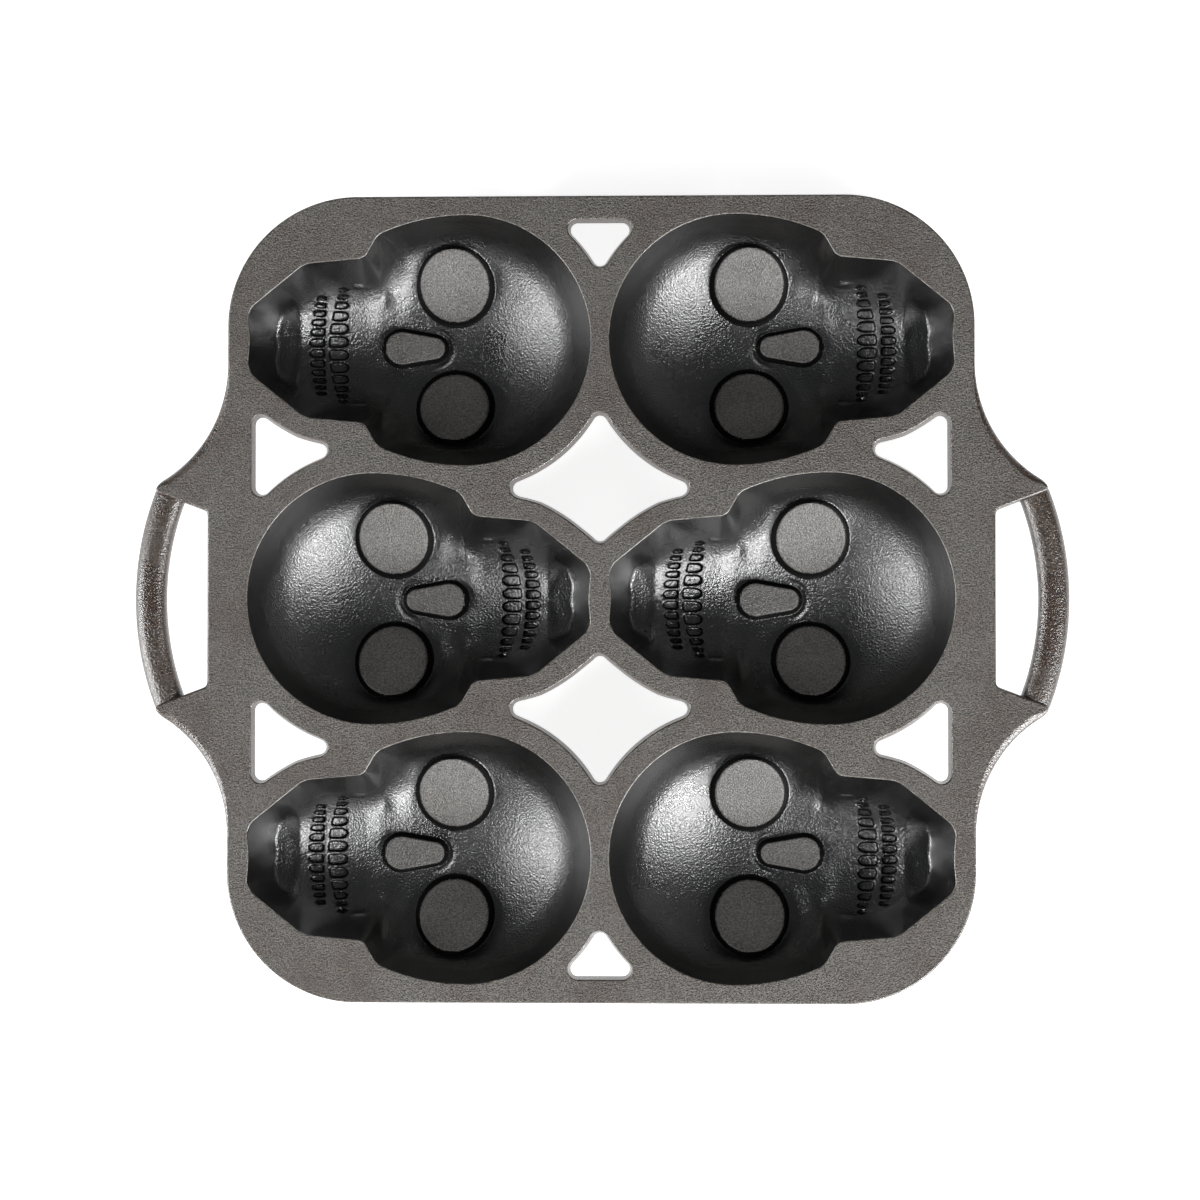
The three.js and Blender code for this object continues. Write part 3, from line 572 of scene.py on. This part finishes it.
print("points on a quarter circle of 10 mm:", len(arc(0, 0, 10, 0, np.pi / 2)))

# %% Sizes of the deck and the handles
END_BORDER, EDGE_BORDER, DECK_CORNER = 8.7, 8.3, 55.0
GRIP_WEB, GRIP_LENGTH, GRIP_DEPTH = 8.4, 73.0, 17.8
BAR_WIDTH, BAR_HEIGHT, BAR_DROP, BAR_RADIUS = 13.0, 11.0, 1.2, 121.5
DECK_HALF_LENGTH = COLUMN + SKULL_LENGTH / 2 + END_BORDER
DECK_HALF_WIDTH = ROW + CRANIUM_RADIUS + EDGE_BORDER
GRIP_START = DECK_HALF_LENGTH + GRIP_WEB
BAR_CENTRE = GRIP_START + GRIP_DEPTH + BAR_WIDTH / 2 - BAR_RADIUS
BAR_OUTER = BAR_RADIUS + BAR_WIDTH / 2
SHOULDER_ANGLE = np.arctan(GRIP_LENGTH / 2 / (GRIP_START - BAR_CENTRE))
SHOULDER_OUT = np.array([np.cos(SHOULDER_ANGLE), np.sin(SHOULDER_ANGLE)])
SHOULDER_BACK = np.array([-SHOULDER_OUT[1], SHOULDER_OUT[0]])
print("deck", round(2 * DECK_HALF_LENGTH, 1), "by", round(2 * DECK_HALF_WIDTH, 1), "mm without the handles")

# %% Outline of the deck
FLANK_RADIUS, SHOULDER_RADIUS, SHOULDER_TIP_ROUNDING, GRIP_CORNER_ROUNDING = 57.3, 11.1, 2.0, 2.2
bar_middle = np.array([BAR_CENTRE, 0])
shoulder = bar_middle + (BAR_OUTER - SHOULDER_RADIUS) * SHOULDER_OUT
across = DECK_HALF_LENGTH + FLANK_RADIUS - shoulder[0]
flank_y = shoulder[1] + np.sqrt((FLANK_RADIUS + SHOULDER_RADIUS) ** 2 - across**2)
meet = np.arctan2(flank_y - shoulder[1], across)
shoulder_tip = bar_middle + BAR_OUTER * SHOULDER_OUT
tip_room = SHOULDER_RADIUS - SHOULDER_TIP_ROUNDING
tip_turn = SHOULDER_ANGLE + np.arcsin(SHOULDER_TIP_ROUNDING / tip_room)
tip_middle = shoulder + tip_room * np.array([np.cos(tip_turn), np.sin(tip_turn)])
grip_corner = np.array([GRIP_START, GRIP_LENGTH / 2])
quarter = np.vstack([
    arc(DECK_HALF_LENGTH - DECK_CORNER, DECK_HALF_WIDTH - DECK_CORNER, DECK_CORNER, np.pi / 2, 0),
    arc(DECK_HALF_LENGTH + FLANK_RADIUS, flank_y, FLANK_RADIUS, np.pi, np.pi + meet),
    arc(*shoulder, SHOULDER_RADIUS, meet, tip_turn),
    arc(*tip_middle, SHOULDER_TIP_ROUNDING, tip_turn, SHOULDER_ANGLE - np.pi / 2),
    rounded(shoulder_tip, grip_corner, grip_corner * [1, -1], GRIP_CORNER_ROUNDING),
])
right_side = np.vstack([quarter, (quarter * [1, -1])[::-1]])
outline = even_loop(np.vstack([right_side, (right_side * [-1, 1])[::-1]])[::-1], LOOP_STEP)
print("deck outline:", len(outline), "points,", outline.max(0).round(2), "mm from the middle")

# %% [markdown]
# ## Windows
# Between the cups the deck is cut out, which saves iron and lets hot air through. Each window keeps
# the same distance from the mouths around it, so its shape follows from theirs. It could be drawn by
# hand. Instead rays from its roomiest point stop where the open width ends.

# %% Eight windows
RIM_WIDTH, SIDE_RAIL, EDGE_RAIL, WINDOW_CORNER, WINDOW_STEP = 10.5, 11.6, 11.4, 3.0, 0.6
SEARCH_STEPS, WINDOW_RAYS = 41, 720


def window_room(x, y):
    """Open width around a point: inside the rails and RIM_WIDTH away from every mouth."""
    room = np.minimum(DECK_HALF_LENGTH - SIDE_RAIL - np.abs(x), DECK_HALF_WIDTH - EDGE_RAIL - np.abs(y))
    for cx, cy, facing in CUPS.values():
        room = np.minimum(room, -inset((x - cx) * facing, (y - cy) * facing) - RIM_WIDTH)
    return room


def window_loop(guess):
    """A loop met by rays from the roomiest point near a guess. It lies WINDOW_CORNER outside the loop
    where window_room falls to WINDOW_CORNER, so that each corner is an arc of that radius."""
    search = np.linspace(-RIM_WIDTH, RIM_WIDTH, SEARCH_STEPS)
    x, y = np.meshgrid(guess[0] + search * (guess[0] != 0), guess[1] + search)
    best = np.argmax(window_room(x, y))
    start = np.array([x.flat[best], y.flat[best]])
    angle = np.linspace(0, 2 * np.pi, WINDOW_RAYS, endpoint=False)
    ways = np.cos(angle), np.sin(angle)

    def in_core(px, py):
        return window_room(px, py) > WINDOW_CORNER

    core_reach = halve_in(start, *ways, CRANIUM_RADIUS, in_core)
    core = start + core_reach[:, None] * np.stack(ways, -1)
    run = np.roll(core, -1, 0) - core

    def near_core(px, py):
        off = np.stack([px, py], -1)[:, None] - core
        share = np.clip((off * run).sum(-1) / (run**2).sum(-1), 0, 1)
        apart = np.linalg.norm(off - share[..., None] * run, axis=-1).min(1)
        return (np.hypot(px - start[0], py - start[1]) < core_reach) | (apart < WINDOW_CORNER)

    edge_reach = halve_in(start, *ways, CRANIUM_RADIUS, near_core)
    return even_loop(start + edge_reach[:, None] * np.stack(ways, -1), WINDOW_STEP)


beside_jaw, beside_edge = DECK_HALF_LENGTH - SIDE_RAIL - RIM_WIDTH, DECK_HALF_WIDTH - EDGE_RAIL - RIM_WIDTH
guesses = [(0, beside_edge), (0, ROW / 2), (beside_jaw, ROW / 2), (-beside_jaw, ROW / 2)]
windows = [window_loop((x, side * y)) for x, y in guesses for side in (1, -1)]
print("windows:", len(windows), "with", [len(window) for window in windows], "points")

# %% [markdown]
# ## Swelling under the shoulders
# The bars are thicker than the deck, so the deck swells downward towards each bar's end. Two objects
# could be joined by a Boolean and a fillet. A height that fades with the distance from the bar's end
# gives the fillet at once.

# %% Height of the swelling
GUSSET_DROP, GUSSET_LENGTH, GUSSET_OVERLAP = BAR_HEIGHT + BAR_DROP - DECK_THICKNESS, 30.0, 2.0
GUSSET_HALF_WIDTH, GUSSET_LEAN, GUSSET_SPREAD, GUSSET_POWER = 8.0, 0.26, 0.1, 3


def past_shoulder(points):
    """Distance back from a bar's end plane and out from its centre line, at the nearest of four ends."""
    local = np.abs(points[..., :2]) - bar_middle
    return local @ SHOULDER_BACK, local @ SHOULDER_OUT - BAR_RADIUS


def gusset(points):
    """How far the underside swells: a rounded rib that fades out behind each bar's end."""
    back, out = past_shoulder(points)
    half_width = GUSSET_HALF_WIDTH + GUSSET_SPREAD * np.maximum(back, 0)
    off_rib = (out + GUSSET_LEAN * back) / half_width
    fade = 1 - smoothstep(back, 0, GUSSET_LENGTH)
    section = np.clip(1 - np.abs(off_rib) ** GUSSET_POWER, 0, 1)
    return GUSSET_DROP * section * fade * (back > -GUSSET_OVERLAP)


print("largest swelling along the outline:", gusset(outline).max().round(2), "mm")

# %% [markdown]
# ## Edges and mouths
# A casting has no sharp edge: the sand would crumble there. The edges are narrow round the deck and
# broad on the flanks where hands pass, and window walls lean so that the pattern leaves the sand. A
# Bevel modifier has one width, so each edge is a profile whose width is a number at every point.

# %% Edge profile carried round a loop
BAND, FOOT_ROUNDING, EDGE_TURNS, FOOT_TURNS = 0.4, 0.8, 8, 5


def edge_rings(loop, out, width, height, draft):
    """Rings from the top face over a rounded edge of a width and height, down a drafted wall, round to
    the underside. Each point moves along the loop's normal by the profile's offset."""
    along = np.roll(loop, -1, 0) - np.roll(loop, 1, 0)
    normal = out * np.stack([along[:, 1], -along[:, 0]], -1) / np.linalg.norm(along, axis=1)[:, None]
    under = PAN_HEIGHT - DECK_THICKNESS - gusset(loop)
    turn = np.linspace(0, np.pi / 2, EDGE_TURNS)[:, None]
    last_turn = np.linspace(0, np.pi / 2, FOOT_TURNS)[:, None]
    one = np.ones((1, len(loop)))
    offsets = np.vstack([
        -(width + draft + BAND) * one, (-draft - width * (1 - np.sin(turn))) * one,
        -FOOT_ROUNDING * (1 - np.cos(last_turn)) * one, -(FOOT_ROUNDING + BAND) * one,
    ])
    heights = np.vstack([
        PAN_HEIGHT * one, (PAN_HEIGHT - height * (1 - np.cos(turn))) * one,
        under + FOOT_ROUNDING * (1 - np.sin(last_turn)), under * one,
    ])
    flat = loop + offsets[..., None] * normal
    return np.concatenate([flat, heights[..., None]], -1)


# %% Edges of the outline and the windows
EDGE_WIDTH, EDGE_HEIGHT, FLANK_EXTRA_WIDTH, FLANK_EXTRA_HEIGHT = 0.9, 0.9, 3.0, 1.5
FLANK_START, FLANK_END, OUTLINE_DRAFT, WINDOW_EDGE, WINDOW_DRAFT = (1, 9), (62, 104), 0.4, 0.7, 1.0
outline_back, _ = past_shoulder(outline)
on_flank = smoothstep(outline_back, *FLANK_START) * (1 - smoothstep(np.abs(outline[:, 1]), *FLANK_END))
edge_width = EDGE_WIDTH + FLANK_EXTRA_WIDTH * on_flank
edge_height = EDGE_HEIGHT + FLANK_EXTRA_HEIGHT * on_flank
loops = [edge_rings(outline, 1, edge_width, edge_height, OUTLINE_DRAFT)]
loops += [edge_rings(window, -1, WINDOW_EDGE, WINDOW_EDGE, WINDOW_DRAFT) for window in windows]
print("edge width along the outline, mm:", edge_width.min().round(2), "to", edge_width.max().round(2))

# %% Mouths of the cups
LIP, LIP_STEPS, WALL_STEPS = 0.5, 7, 6
lip_run = LIP * np.tan(np.arctan(WALL_SLOPE) / 2)


def mouth_rings():
    """Rings from the deck over a rounded lip, then down the wall to the seam with the cup."""
    turn = np.linspace(0, np.arctan(WALL_SLOPE), LIP_STEPS)
    levels = np.concatenate([[-lip_run - BAND], -lip_run + LIP * np.sin(turn)])
    drops = np.concatenate([[0], LIP * (1 - np.cos(turn))])
    lip = np.array([reach(lambda x, y, level=level: inset(x, y) - level) for level in levels])
    share = np.linspace(0, 1, WALL_STEPS + 1)[1:, None]
    wall = lip[-1] + share * (seam_reach - lip[-1])
    far = np.vstack([lip, wall])
    x, y = SPOKE + far * ray_x, far * ray_y
    depth = np.vstack([drops[:, None] * np.ones(RAYS), bowl_depth(x[len(levels):], y[len(levels):])])
    depth[-1] = DECK_THICKNESS
    return np.stack([x, y, PAN_HEIGHT - depth], -1)


mouth = mouth_rings()
loops += [mouth * [facing, facing, 1] + [cx, cy, 0] for cx, cy, facing in CUPS.values()]
print("rings of a mouth:", mouth.shape)

# %% [markdown]
# ## The deck's two faces
# Top and underside are flat regions between the loops. Blender fills such a face by itself, but its
# long triangles would shade badly at the swelling. A Delaunay triangulation takes extra points there.

# %% Fill between the loops
INSIDE_CONSTRAINTS, MERGE_DISTANCE = 1, 1e-6


def inside(points, loop):
    """Whether each point lies in a closed loop: a line from it crosses the loop an odd number of times."""
    x, y = points[:, :1], points[:, 1:]
    a, b = loop, np.roll(loop, -1, 0)
    spans = (a[:, 1] > y) != (b[:, 1] > y)
    rise = np.where(b[:, 1] == a[:, 1], 1, b[:, 1] - a[:, 1])
    crossing = a[:, 0] + (y - a[:, 1]) * (b[:, 0] - a[:, 0]) / rise
    return (spans & (x < crossing)).sum(1) % 2 == 1


def fill(points, rings, loose):
    """Triangles of the flat region inside the first ring and outside the others. rings and loose hold
    point numbers."""
    numbers = np.concatenate([*rings, loose])
    starts = np.concatenate([[0], np.cumsum([len(ring) for ring in rings])])
    edges = np.concatenate([
        np.stack([start + np.arange(len(ring)), start + (np.arange(len(ring)) + 1) % len(ring)], -1)
        for start, ring in zip(starts, rings)
    ])
    _, _, faces, origin, _, _ = delaunay_2d_cdt(
        points[numbers, :2].tolist(), edges.tolist(), [], INSIDE_CONSTRAINTS, MERGE_DISTANCE)
    triangles = numbers[np.array([sources[0] for sources in origin])][np.array(faces)]
    middles = points[triangles, :2].mean(1)
    outer, *holes = [inside(middles, points[ring, :2]) for ring in rings]
    return triangles[outer & ~np.any(holes, axis=0)]


# %% Points under the swelling
RIB_START, RIB_STEP_BACK, RIB_STEP_OUT, RIB_OUT, RIB_CLEAR = 0.5, 1.2, 1.0, (-26, 13), 2.0
rib_back, rib_out = np.meshgrid(
    np.arange(RIB_START, GUSSET_LENGTH + GUSSET_OVERLAP, RIB_STEP_BACK), np.arange(*RIB_OUT, RIB_STEP_OUT))
rib = bar_middle + rib_back[..., None] * SHOULDER_BACK
rib = (rib + (BAR_RADIUS + rib_out[..., None]) * SHOULDER_OUT).reshape(-1, 2)
clear = np.linalg.norm(rib[:, None] - outline, axis=-1).min(1) > RIB_CLEAR
rib = rib[clear & (gusset(rib) > 0)]
rib = np.concatenate([rib * [sx, sy] for sx in (1, -1) for sy in (1, -1)])
rib = np.column_stack([rib, PAN_HEIGHT - DECK_THICKNESS - gusset(rib)])
print("points under the swelling:", len(rib))

# %% Deck
loop_points = [loop.reshape(-1, 3) for loop in loops]
firsts = np.concatenate([[0], np.cumsum([len(points) for points in loop_points])])
deck_points = np.concatenate([*loop_points, rib])
tops = [first + np.arange(loop.shape[1]) for first, loop in zip(firsts, loops)]
unders = [top + (loop.shape[0] - 1) * loop.shape[1] for top, loop in zip(tops, loops)]
top_fill = fill(deck_points, tops, np.array([], int))
under_fill = fill(deck_points, unders, firsts[-1] + np.arange(len(rib)))[:, ::-1]
deck_quads = [strips(first, *loop.shape[:2]) for first, loop in zip(firsts, loops)]
deck_quads = np.concatenate([deck_quads[0], *[quads[:, ::-1] for quads in deck_quads[1:]]])
deck_fill = np.concatenate([under_fill, top_fill])
deck = piece("deck", deck_points, deck_quads, deck_fill, flat=len(top_fill))

# %% [markdown]
# ## The bars
# Each handle ends in a bowed bar with an oval section, a little lower than the deck. A bevelled curve
# would do, but a grid lets the section be a squarish oval and the ends close inside the shoulders.

# %% Oval section along an arc
BAR_RINGS, BAR_SIDES, BAR_SINK, BAR_ROUNDNESS, BAR_END_LENGTH = 131, 64, 3.0, 2.6, 1.3


def bar_points(side):
    """Rings of |a|^n + |b|^n = 1 ovals, n = BAR_ROUNDNESS, along the arc between the shoulders. Past a
    shoulder's face they shrink by sqrt(1 - t^2), as the end of a round rod does that is
    BAR_END_LENGTH times as long as the sunk part."""
    end = SHOULDER_ANGLE + BAR_SINK / BAR_RADIUS
    turns = np.arange(BAR_SIDES) * 2 * np.pi / BAR_SIDES
    along, around = np.meshgrid(np.linspace(-end, end, BAR_RINGS), turns, indexing="ij")
    a, b = (np.sign(v) * np.abs(v) ** (2 / BAR_ROUNDNESS) for v in (np.cos(around), np.sin(around)))
    sunk = np.maximum(np.abs(along) - SHOULDER_ANGLE, 0) * BAR_RADIUS / BAR_SINK / BAR_END_LENGTH
    size = np.sqrt(1 - sunk**2)
    radius = BAR_RADIUS + BAR_WIDTH / 2 * a * size
    z = PAN_HEIGHT - BAR_DROP - BAR_HEIGHT / 2 * (1 - b * size)
    rings = np.stack([BAR_CENTRE + radius * np.cos(along), radius * np.sin(along), z], -1)
    ends = rings[[0, -1]].mean(1)
    return np.concatenate([ends, rings.reshape(-1, 3)]) * [side, side, 1]


bar_quads, bar_fans = closed(BAR_RINGS, BAR_SIDES)
bars = {
    f"handle_bar_{name}": piece(f"bar_{name}", bar_points(side), bar_quads, bar_fans)
    for name, side in (("right", 1), ("left", -1))
}

# %% Which way the faces point
CUBIC_CENTIMETRES = 1e6


def volume(made):
    """Signed volume in cubic centimetres: a sixth of the sum of a . (b x c) over all triangles."""
    mesh = made.data
    mesh.calc_loop_triangles()
    corners = np.empty(len(mesh.loop_triangles) * 3, np.int32)
    mesh.loop_triangles.foreach_get("vertices", corners)
    places = np.empty(len(mesh.vertices) * 3, np.float32)
    mesh.vertices.foreach_get("co", places)
    a, b, c = places.astype(float).reshape(-1, 3)[corners.reshape(-1, 3)].transpose(1, 0, 2)
    return np.einsum("ij,ij->", a, np.cross(b, c)) / 6 * CUBIC_CENTIMETRES


for made in (deck, *cups.values(), *bars.values()):
    print(made.name, round(volume(made), 1), "cubic centimetres")

# %% [markdown]
# ## Cast iron, baked with oil
# The pan is grey iron cast in sand and seasoned with baked oil. The deck and the outside keep the
# sand's grain and look grey, because every grain throws light another way. The cups' walls are
# smooth, so they look black with a soft gloss. Hands and cloths have rubbed the bars. The grooves are
# painted dull black as shade, the pads a light grey as painted sheen and the lips a paler grey as a
# painted highlight. Photographs of iron could be wrapped round the pieces, but noise in an object's
# own coordinates has no seams and keeps its size in millimetres. So all the finishes are one recipe
# with other numbers.

# %% Colour and nodes
def linear(code):
    """An sRGB hex colour as linear red, green, blue and alpha."""
    part = np.array([int(code[k:k + 2], 16) for k in (1, 3, 5)]) / 255
    straight = np.where(part <= 0.04045, part / 12.92, ((part + 0.055) / 1.055) ** 2.4)
    return (*straight.tolist(), 1.0)


def add(tree, kind, inputs, **settings):
    """Adds a node, gives it its settings, and fills its inputs: a socket is linked, a value is set."""
    made = tree.nodes.new(kind)
    for name, value in settings.items():
        setattr(made, name, value)
    for key, value in inputs.items():
        if isinstance(value, bpy.types.NodeSocket):
            tree.links.new(value, made.inputs[key])
        else:
            made.inputs[key].default_value = value
    return made


def new_material(name):
    """An empty node material and its tree and output."""
    material = bpy.data.materials.new(name)
    material.use_nodes = True
    tree = material.node_tree
    tree.nodes.clear()
    return material, tree, add(tree, "ShaderNodeOutputMaterial", {})


print("middle grey in linear light:", round(linear("#808080")[0], 3))

# %% Flecks and brown clouds
FLECK_LOW, FLECK_HIGH, CLOUD_LOW, CLOUD_HIGH, CLOUD_SHARE = 0.36, 0.64, 0.4, 0.7, 0.8
# A mix node numbers its two colours 6 and 7 and its mixed colour 2.
COLOUR_A, COLOUR_B, COLOUR_OUT = 6, 7, 2


def iron_colour(tree, grain, clouds, dark, light, brown):
    """Flecks from dark to light by the grain, tinted brown where the clouds are thick."""
    fleck = add(tree, "ShaderNodeMapRange", {
        "Value": grain, "From Min": FLECK_LOW, "From Max": FLECK_HIGH}).outputs["Result"]
    patch = add(tree, "ShaderNodeMapRange", {
        "Value": clouds, "From Min": CLOUD_LOW, "From Max": CLOUD_HIGH,
        "To Max": CLOUD_SHARE}).outputs["Result"]
    iron = add(tree, "ShaderNodeMix", {
        "Factor": fleck, COLOUR_A: linear(dark), COLOUR_B: linear(light)}, data_type="RGBA")
    tint = {"Factor": patch, COLOUR_A: iron.outputs[COLOUR_OUT], COLOUR_B: linear(brown)}
    return add(tree, "ShaderNodeMix", tint, data_type="RGBA", blend_type="MULTIPLY").outputs[COLOUR_OUT]


# %% One recipe for the iron
GLOSS_LOW, GLOSS_HIGH, GLOSS_SPREAD, LEAST_SAND, WALL_GLOSS = 0.3, 0.7, 0.04, 0.25, 0.05


def cast_iron(name, dark, light, brown, grain_mm, relief_mm, cloud_mm, rough, ior, sand=None):
    """Grain of a size in millimetres sets the flecks and a relief, and clouds set a tint and the spread of
    the gloss. sand names an attribute from 0, where the mould was smooth, to 1, where its sand shows."""
    material, tree, output = new_material(name)
    place = add(tree, "ShaderNodeTexCoord", {}).outputs["Object"]
    grain = add(tree, "ShaderNodeTexNoise", {
        "Vector": place, "Scale": 1 / (grain_mm * MM), "Detail": 2.0, "Roughness": 0.6}).outputs["Fac"]
    clouds = add(tree, "ShaderNodeTexNoise", {
        "Vector": place, "Scale": 1 / (cloud_mm * MM), "Detail": 3.0, "Roughness": 0.55}).outputs["Fac"]
    colour = iron_colour(tree, grain, clouds, dark, light, brown)
    gloss = add(tree, "ShaderNodeMapRange", {
        "Value": clouds, "From Min": GLOSS_LOW, "From Max": GLOSS_HIGH,
        "To Min": rough + GLOSS_SPREAD, "To Max": rough - GLOSS_SPREAD}).outputs["Result"]
    height = grain
    if sand:
        where = add(tree, "ShaderNodeAttribute", {}, attribute_name=sand).outputs["Fac"]
        left = add(tree, "ShaderNodeMapRange", {"Value": where, "To Min": LEAST_SAND}).outputs["Result"]
        height = add(tree, "ShaderNodeMath", {0: grain, 1: left}, operation="MULTIPLY").outputs[0]
        rougher = {0: where, 1: WALL_GLOSS, 2: gloss}
        gloss = add(tree, "ShaderNodeMath", rougher, operation="MULTIPLY_ADD").outputs[0]
    bump = add(tree, "ShaderNodeBump", {
        "Height": height, "Distance": relief_mm * MM, "Strength": 1.0}).outputs["Normal"]
    surface = add(tree, "ShaderNodeBsdfPrincipled", {
        "Base Color": colour, "Roughness": gloss, "Normal": bump, "IOR": ior, "Metallic": 0.0})
    tree.links.new(surface.outputs["BSDF"], output.inputs["Surface"])
    return material


# %% Finishes
# Real sand grain is about 0.3 mm, too fine to show here, so every grain is drawn two to four times as
# coarse. The index of refraction lies between those of baked oil, 1.5, and iron oxide, 2.5, and is
# lower only in the grooves.
# Sandy: specks of light on black, which the eye takes for grey.
deck_iron = cast_iron(
    "sand_cast_iron", dark="#010101", light="#756f67", brown="#c0a590",
    grain_mm=0.68, relief_mm=0.9, cloud_mm=26, rough=0.44, ior=1.8)
# Smooth: black with a soft, strong gloss, which shows the shape of the bowl.
cup_iron = cast_iron(
    "smooth_seasoned_iron", dark="#090909", light="#161515", brown="#d8cfc6",
    grain_mm=0.9, relief_mm=0.42, cloud_mm=30, rough=0.24, ior=2.5, sand="sand")
# Painted sheen: the pads are black iron painted an even grey with little gloss, which lights them and makes
# them look flat.
pad_sheen_iron = cast_iron(
    "pads_with_painted_sheen", dark="#4e4d4c", light="#82807d", brown="#e4e0dc",
    grain_mm=0.7, relief_mm=0.42, cloud_mm=30, rough=0.30, ior=1.65)
# Painted shade: dull black, which draws a dark line round pads and teeth where the grooves lie in shade.
groove_shade_iron = cast_iron(
    "painted_shade_in_grooves", dark="#050505", light="#0b0a0a", brown="#d8cfc6",
    grain_mm=1.0, relief_mm=0.2, cloud_mm=30, rough=0.60, ior=1.3)
# Handled: brown and smooth enough for two long bright bands along each bar.
bar_iron = cast_iron(
    "handled_cast_iron", dark="#050403", light="#64564a", brown="#c4a58c",
    grain_mm=0.75, relief_mm=0.34, cloud_mm=22, rough=0.28, ior=2.3)
# Painted highlight: paler iron, which gives each mouth a thin light rim where the lip's rounding catches
# the light.
lip_highlight_iron = cast_iron(
    "lips_with_painted_highlight", dark="#0c0b0b", light="#8d877f", brown="#d8c3ae",
    grain_mm=1.3, relief_mm=0.4, cloud_mm=18, rough=0.34, ior=2.4)
print("materials:", [material.name for material in bpy.data.materials])

# %% Finishes on the pieces
SANDY_BAND, SMOOTH_BAND, LIP_HIGHLIGHT_BAND, HANDLED_BAND = range(4)
# A band of faces round each mouth's lip takes the paler lip iron, which is a painted highlight.
EDGE_BANDS, MOUTH_BANDS = ((HANDLED_BAND, 2, 12),), ((LIP_HIGHLIGHT_BAND, 2, 6), (SMOOTH_BAND, 6, 13))
for finish in (deck_iron, cup_iron, lip_highlight_iron, bar_iron):
    deck.data.materials.append(finish)
for made in cups.values():
    for finish in (cup_iron, pad_sheen_iron, groove_shade_iron, deck_iron):
        made.data.materials.append(finish)
    made.data.polygons.foreach_set("material_index", shell_finish)
for made in bars.values():
    made.data.materials.append(bar_iron)

deck_finish = np.full(len(deck.data.polygons), SANDY_BAND, np.int32)
start = 0
for number, (rings, around, _) in enumerate(loop.shape for loop in loops):
    bands = EDGE_BANDS if number <= len(windows) else MOUTH_BANDS
    for band, low, high in bands:
        deck_finish[start + low * around:start + high * around] = band
    start += (rings - 1) * around
deck.data.polygons.foreach_set("material_index", deck_finish)
print("faces of each finish on the deck:", np.bincount(deck_finish))

# %% Hang each piece under the body and hide the solid that it replaces
for made, node, slot in (
    (deck, "deck_plate", "deck_iron"),
    *[(made, node, "cup_iron") for node, made in cups.items()],
    *[(made, node, "bar_iron") for node, made in bars.items()],
):
    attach(made, "root")
    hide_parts(node)

# %% [markdown]
# ## Camera, floor and light
# The photograph looks down from a little more than a metre, slightly to the right of the middle and
# in front of it, so the camera stands there and aims at the middle of the deck. The floor is white to
# the camera and still takes the pan's shadow. A picture of a studio could light the pan, but lamps are
# easier to move: two large soft ones stand low at the left and the right, whose mirror images are the
# bright patches in the cups, and a weak, low one in front lights the pads that lean towards it.

# %% Camera
CAMERA_PLACE, CAMERA_AIM = Vector((40, -26, 1240)) * MM, Vector((0.1, -0.7, 40)) * MM
FRAME_WIDTH = 501 * MM
lens = bpy.data.cameras.new("camera")
camera = bpy.data.objects.new("camera", lens)
bpy.context.scene.collection.objects.link(camera)
gaze = (CAMERA_AIM - CAMERA_PLACE).normalized()
right = gaze.cross(Vector((0, 1, 0))).normalized()
turn = Matrix((right, right.cross(gaze), -gaze)).transposed().to_4x4()
camera.matrix_world = Matrix.Translation(CAMERA_PLACE) @ turn
lens.lens = lens.sensor_width * (CAMERA_AIM - CAMERA_PLACE).length / FRAME_WIDTH
bpy.context.scene.camera = camera
print("lens:", round(lens.lens, 1), "mm")

# %% Floor
FLOOR_SIZE, FLOOR_DROP, FLOOR_GLOW = 6.0, 0.5 * MM, 0.86
bpy.ops.mesh.primitive_plane_add(size=FLOOR_SIZE, location=(0, 0, -FLOOR_DROP))
floor = bpy.context.object
floor.name = "floor"
paper, tree, output = new_material("white_paper")
path = add(tree, "ShaderNodeLightPath", {}).outputs
seen = path["Is Camera Ray"]
for kind in ("Is Glossy Ray", "Is Transmission Ray"):
    seen = add(tree, "ShaderNodeMath", {0: seen, 1: path[kind]}, operation="MAXIMUM").outputs[0]
glow = add(tree, "ShaderNodeMath", {0: seen, 1: FLOOR_GLOW}, operation="MULTIPLY").outputs[0]
sheet = add(tree, "ShaderNodeBsdfPrincipled", {
    "Base Color": linear("#e6e6e6"), "Roughness": 0.9,
    "Emission Color": linear("#ffffff"), "Emission Strength": glow})
tree.links.new(sheet.outputs["BSDF"], output.inputs["Surface"])
floor.data.materials.append(paper)
print("floor:", FLOOR_SIZE, "m wide")

# %% Lamps and sky
SKY_STRENGTH = 0.085


def lamp(name, place, width, height, watts):
    """A soft rectangular lamp, turned towards the pan."""
    data = bpy.data.lights.new(name, "AREA")
    data.shape, data.size, data.size_y, data.energy = "RECTANGLE", width, height, watts
    made = bpy.data.objects.new(name, data)
    made.location = place
    made.rotation_euler = Vector(place).to_track_quat("Z", "Y").to_euler()
    bpy.context.scene.collection.objects.link(made)
    print(name, round(Vector(place).length, 2), "m away,", watts, "W")


lamp("left_lamp", (-1.6, -0.4, 0.8), 0.8, 0.9, 28)
lamp("right_lamp", (1.0, -1.05, 0.95), 0.8, 0.9, 36)
lamp("front_lamp", (0.1, -1.5, 0.66), 0.9, 0.25, 6)
sky = bpy.data.worlds.new("studio")
bpy.context.scene.world = sky
sky.use_nodes = True
sky.node_tree.nodes["Background"].inputs["Color"].default_value = linear("#e8ebee")
sky.node_tree.nodes["Background"].inputs["Strength"].default_value = SKY_STRENGTH
bpy.context.scene.view_settings.view_transform = "Standard"
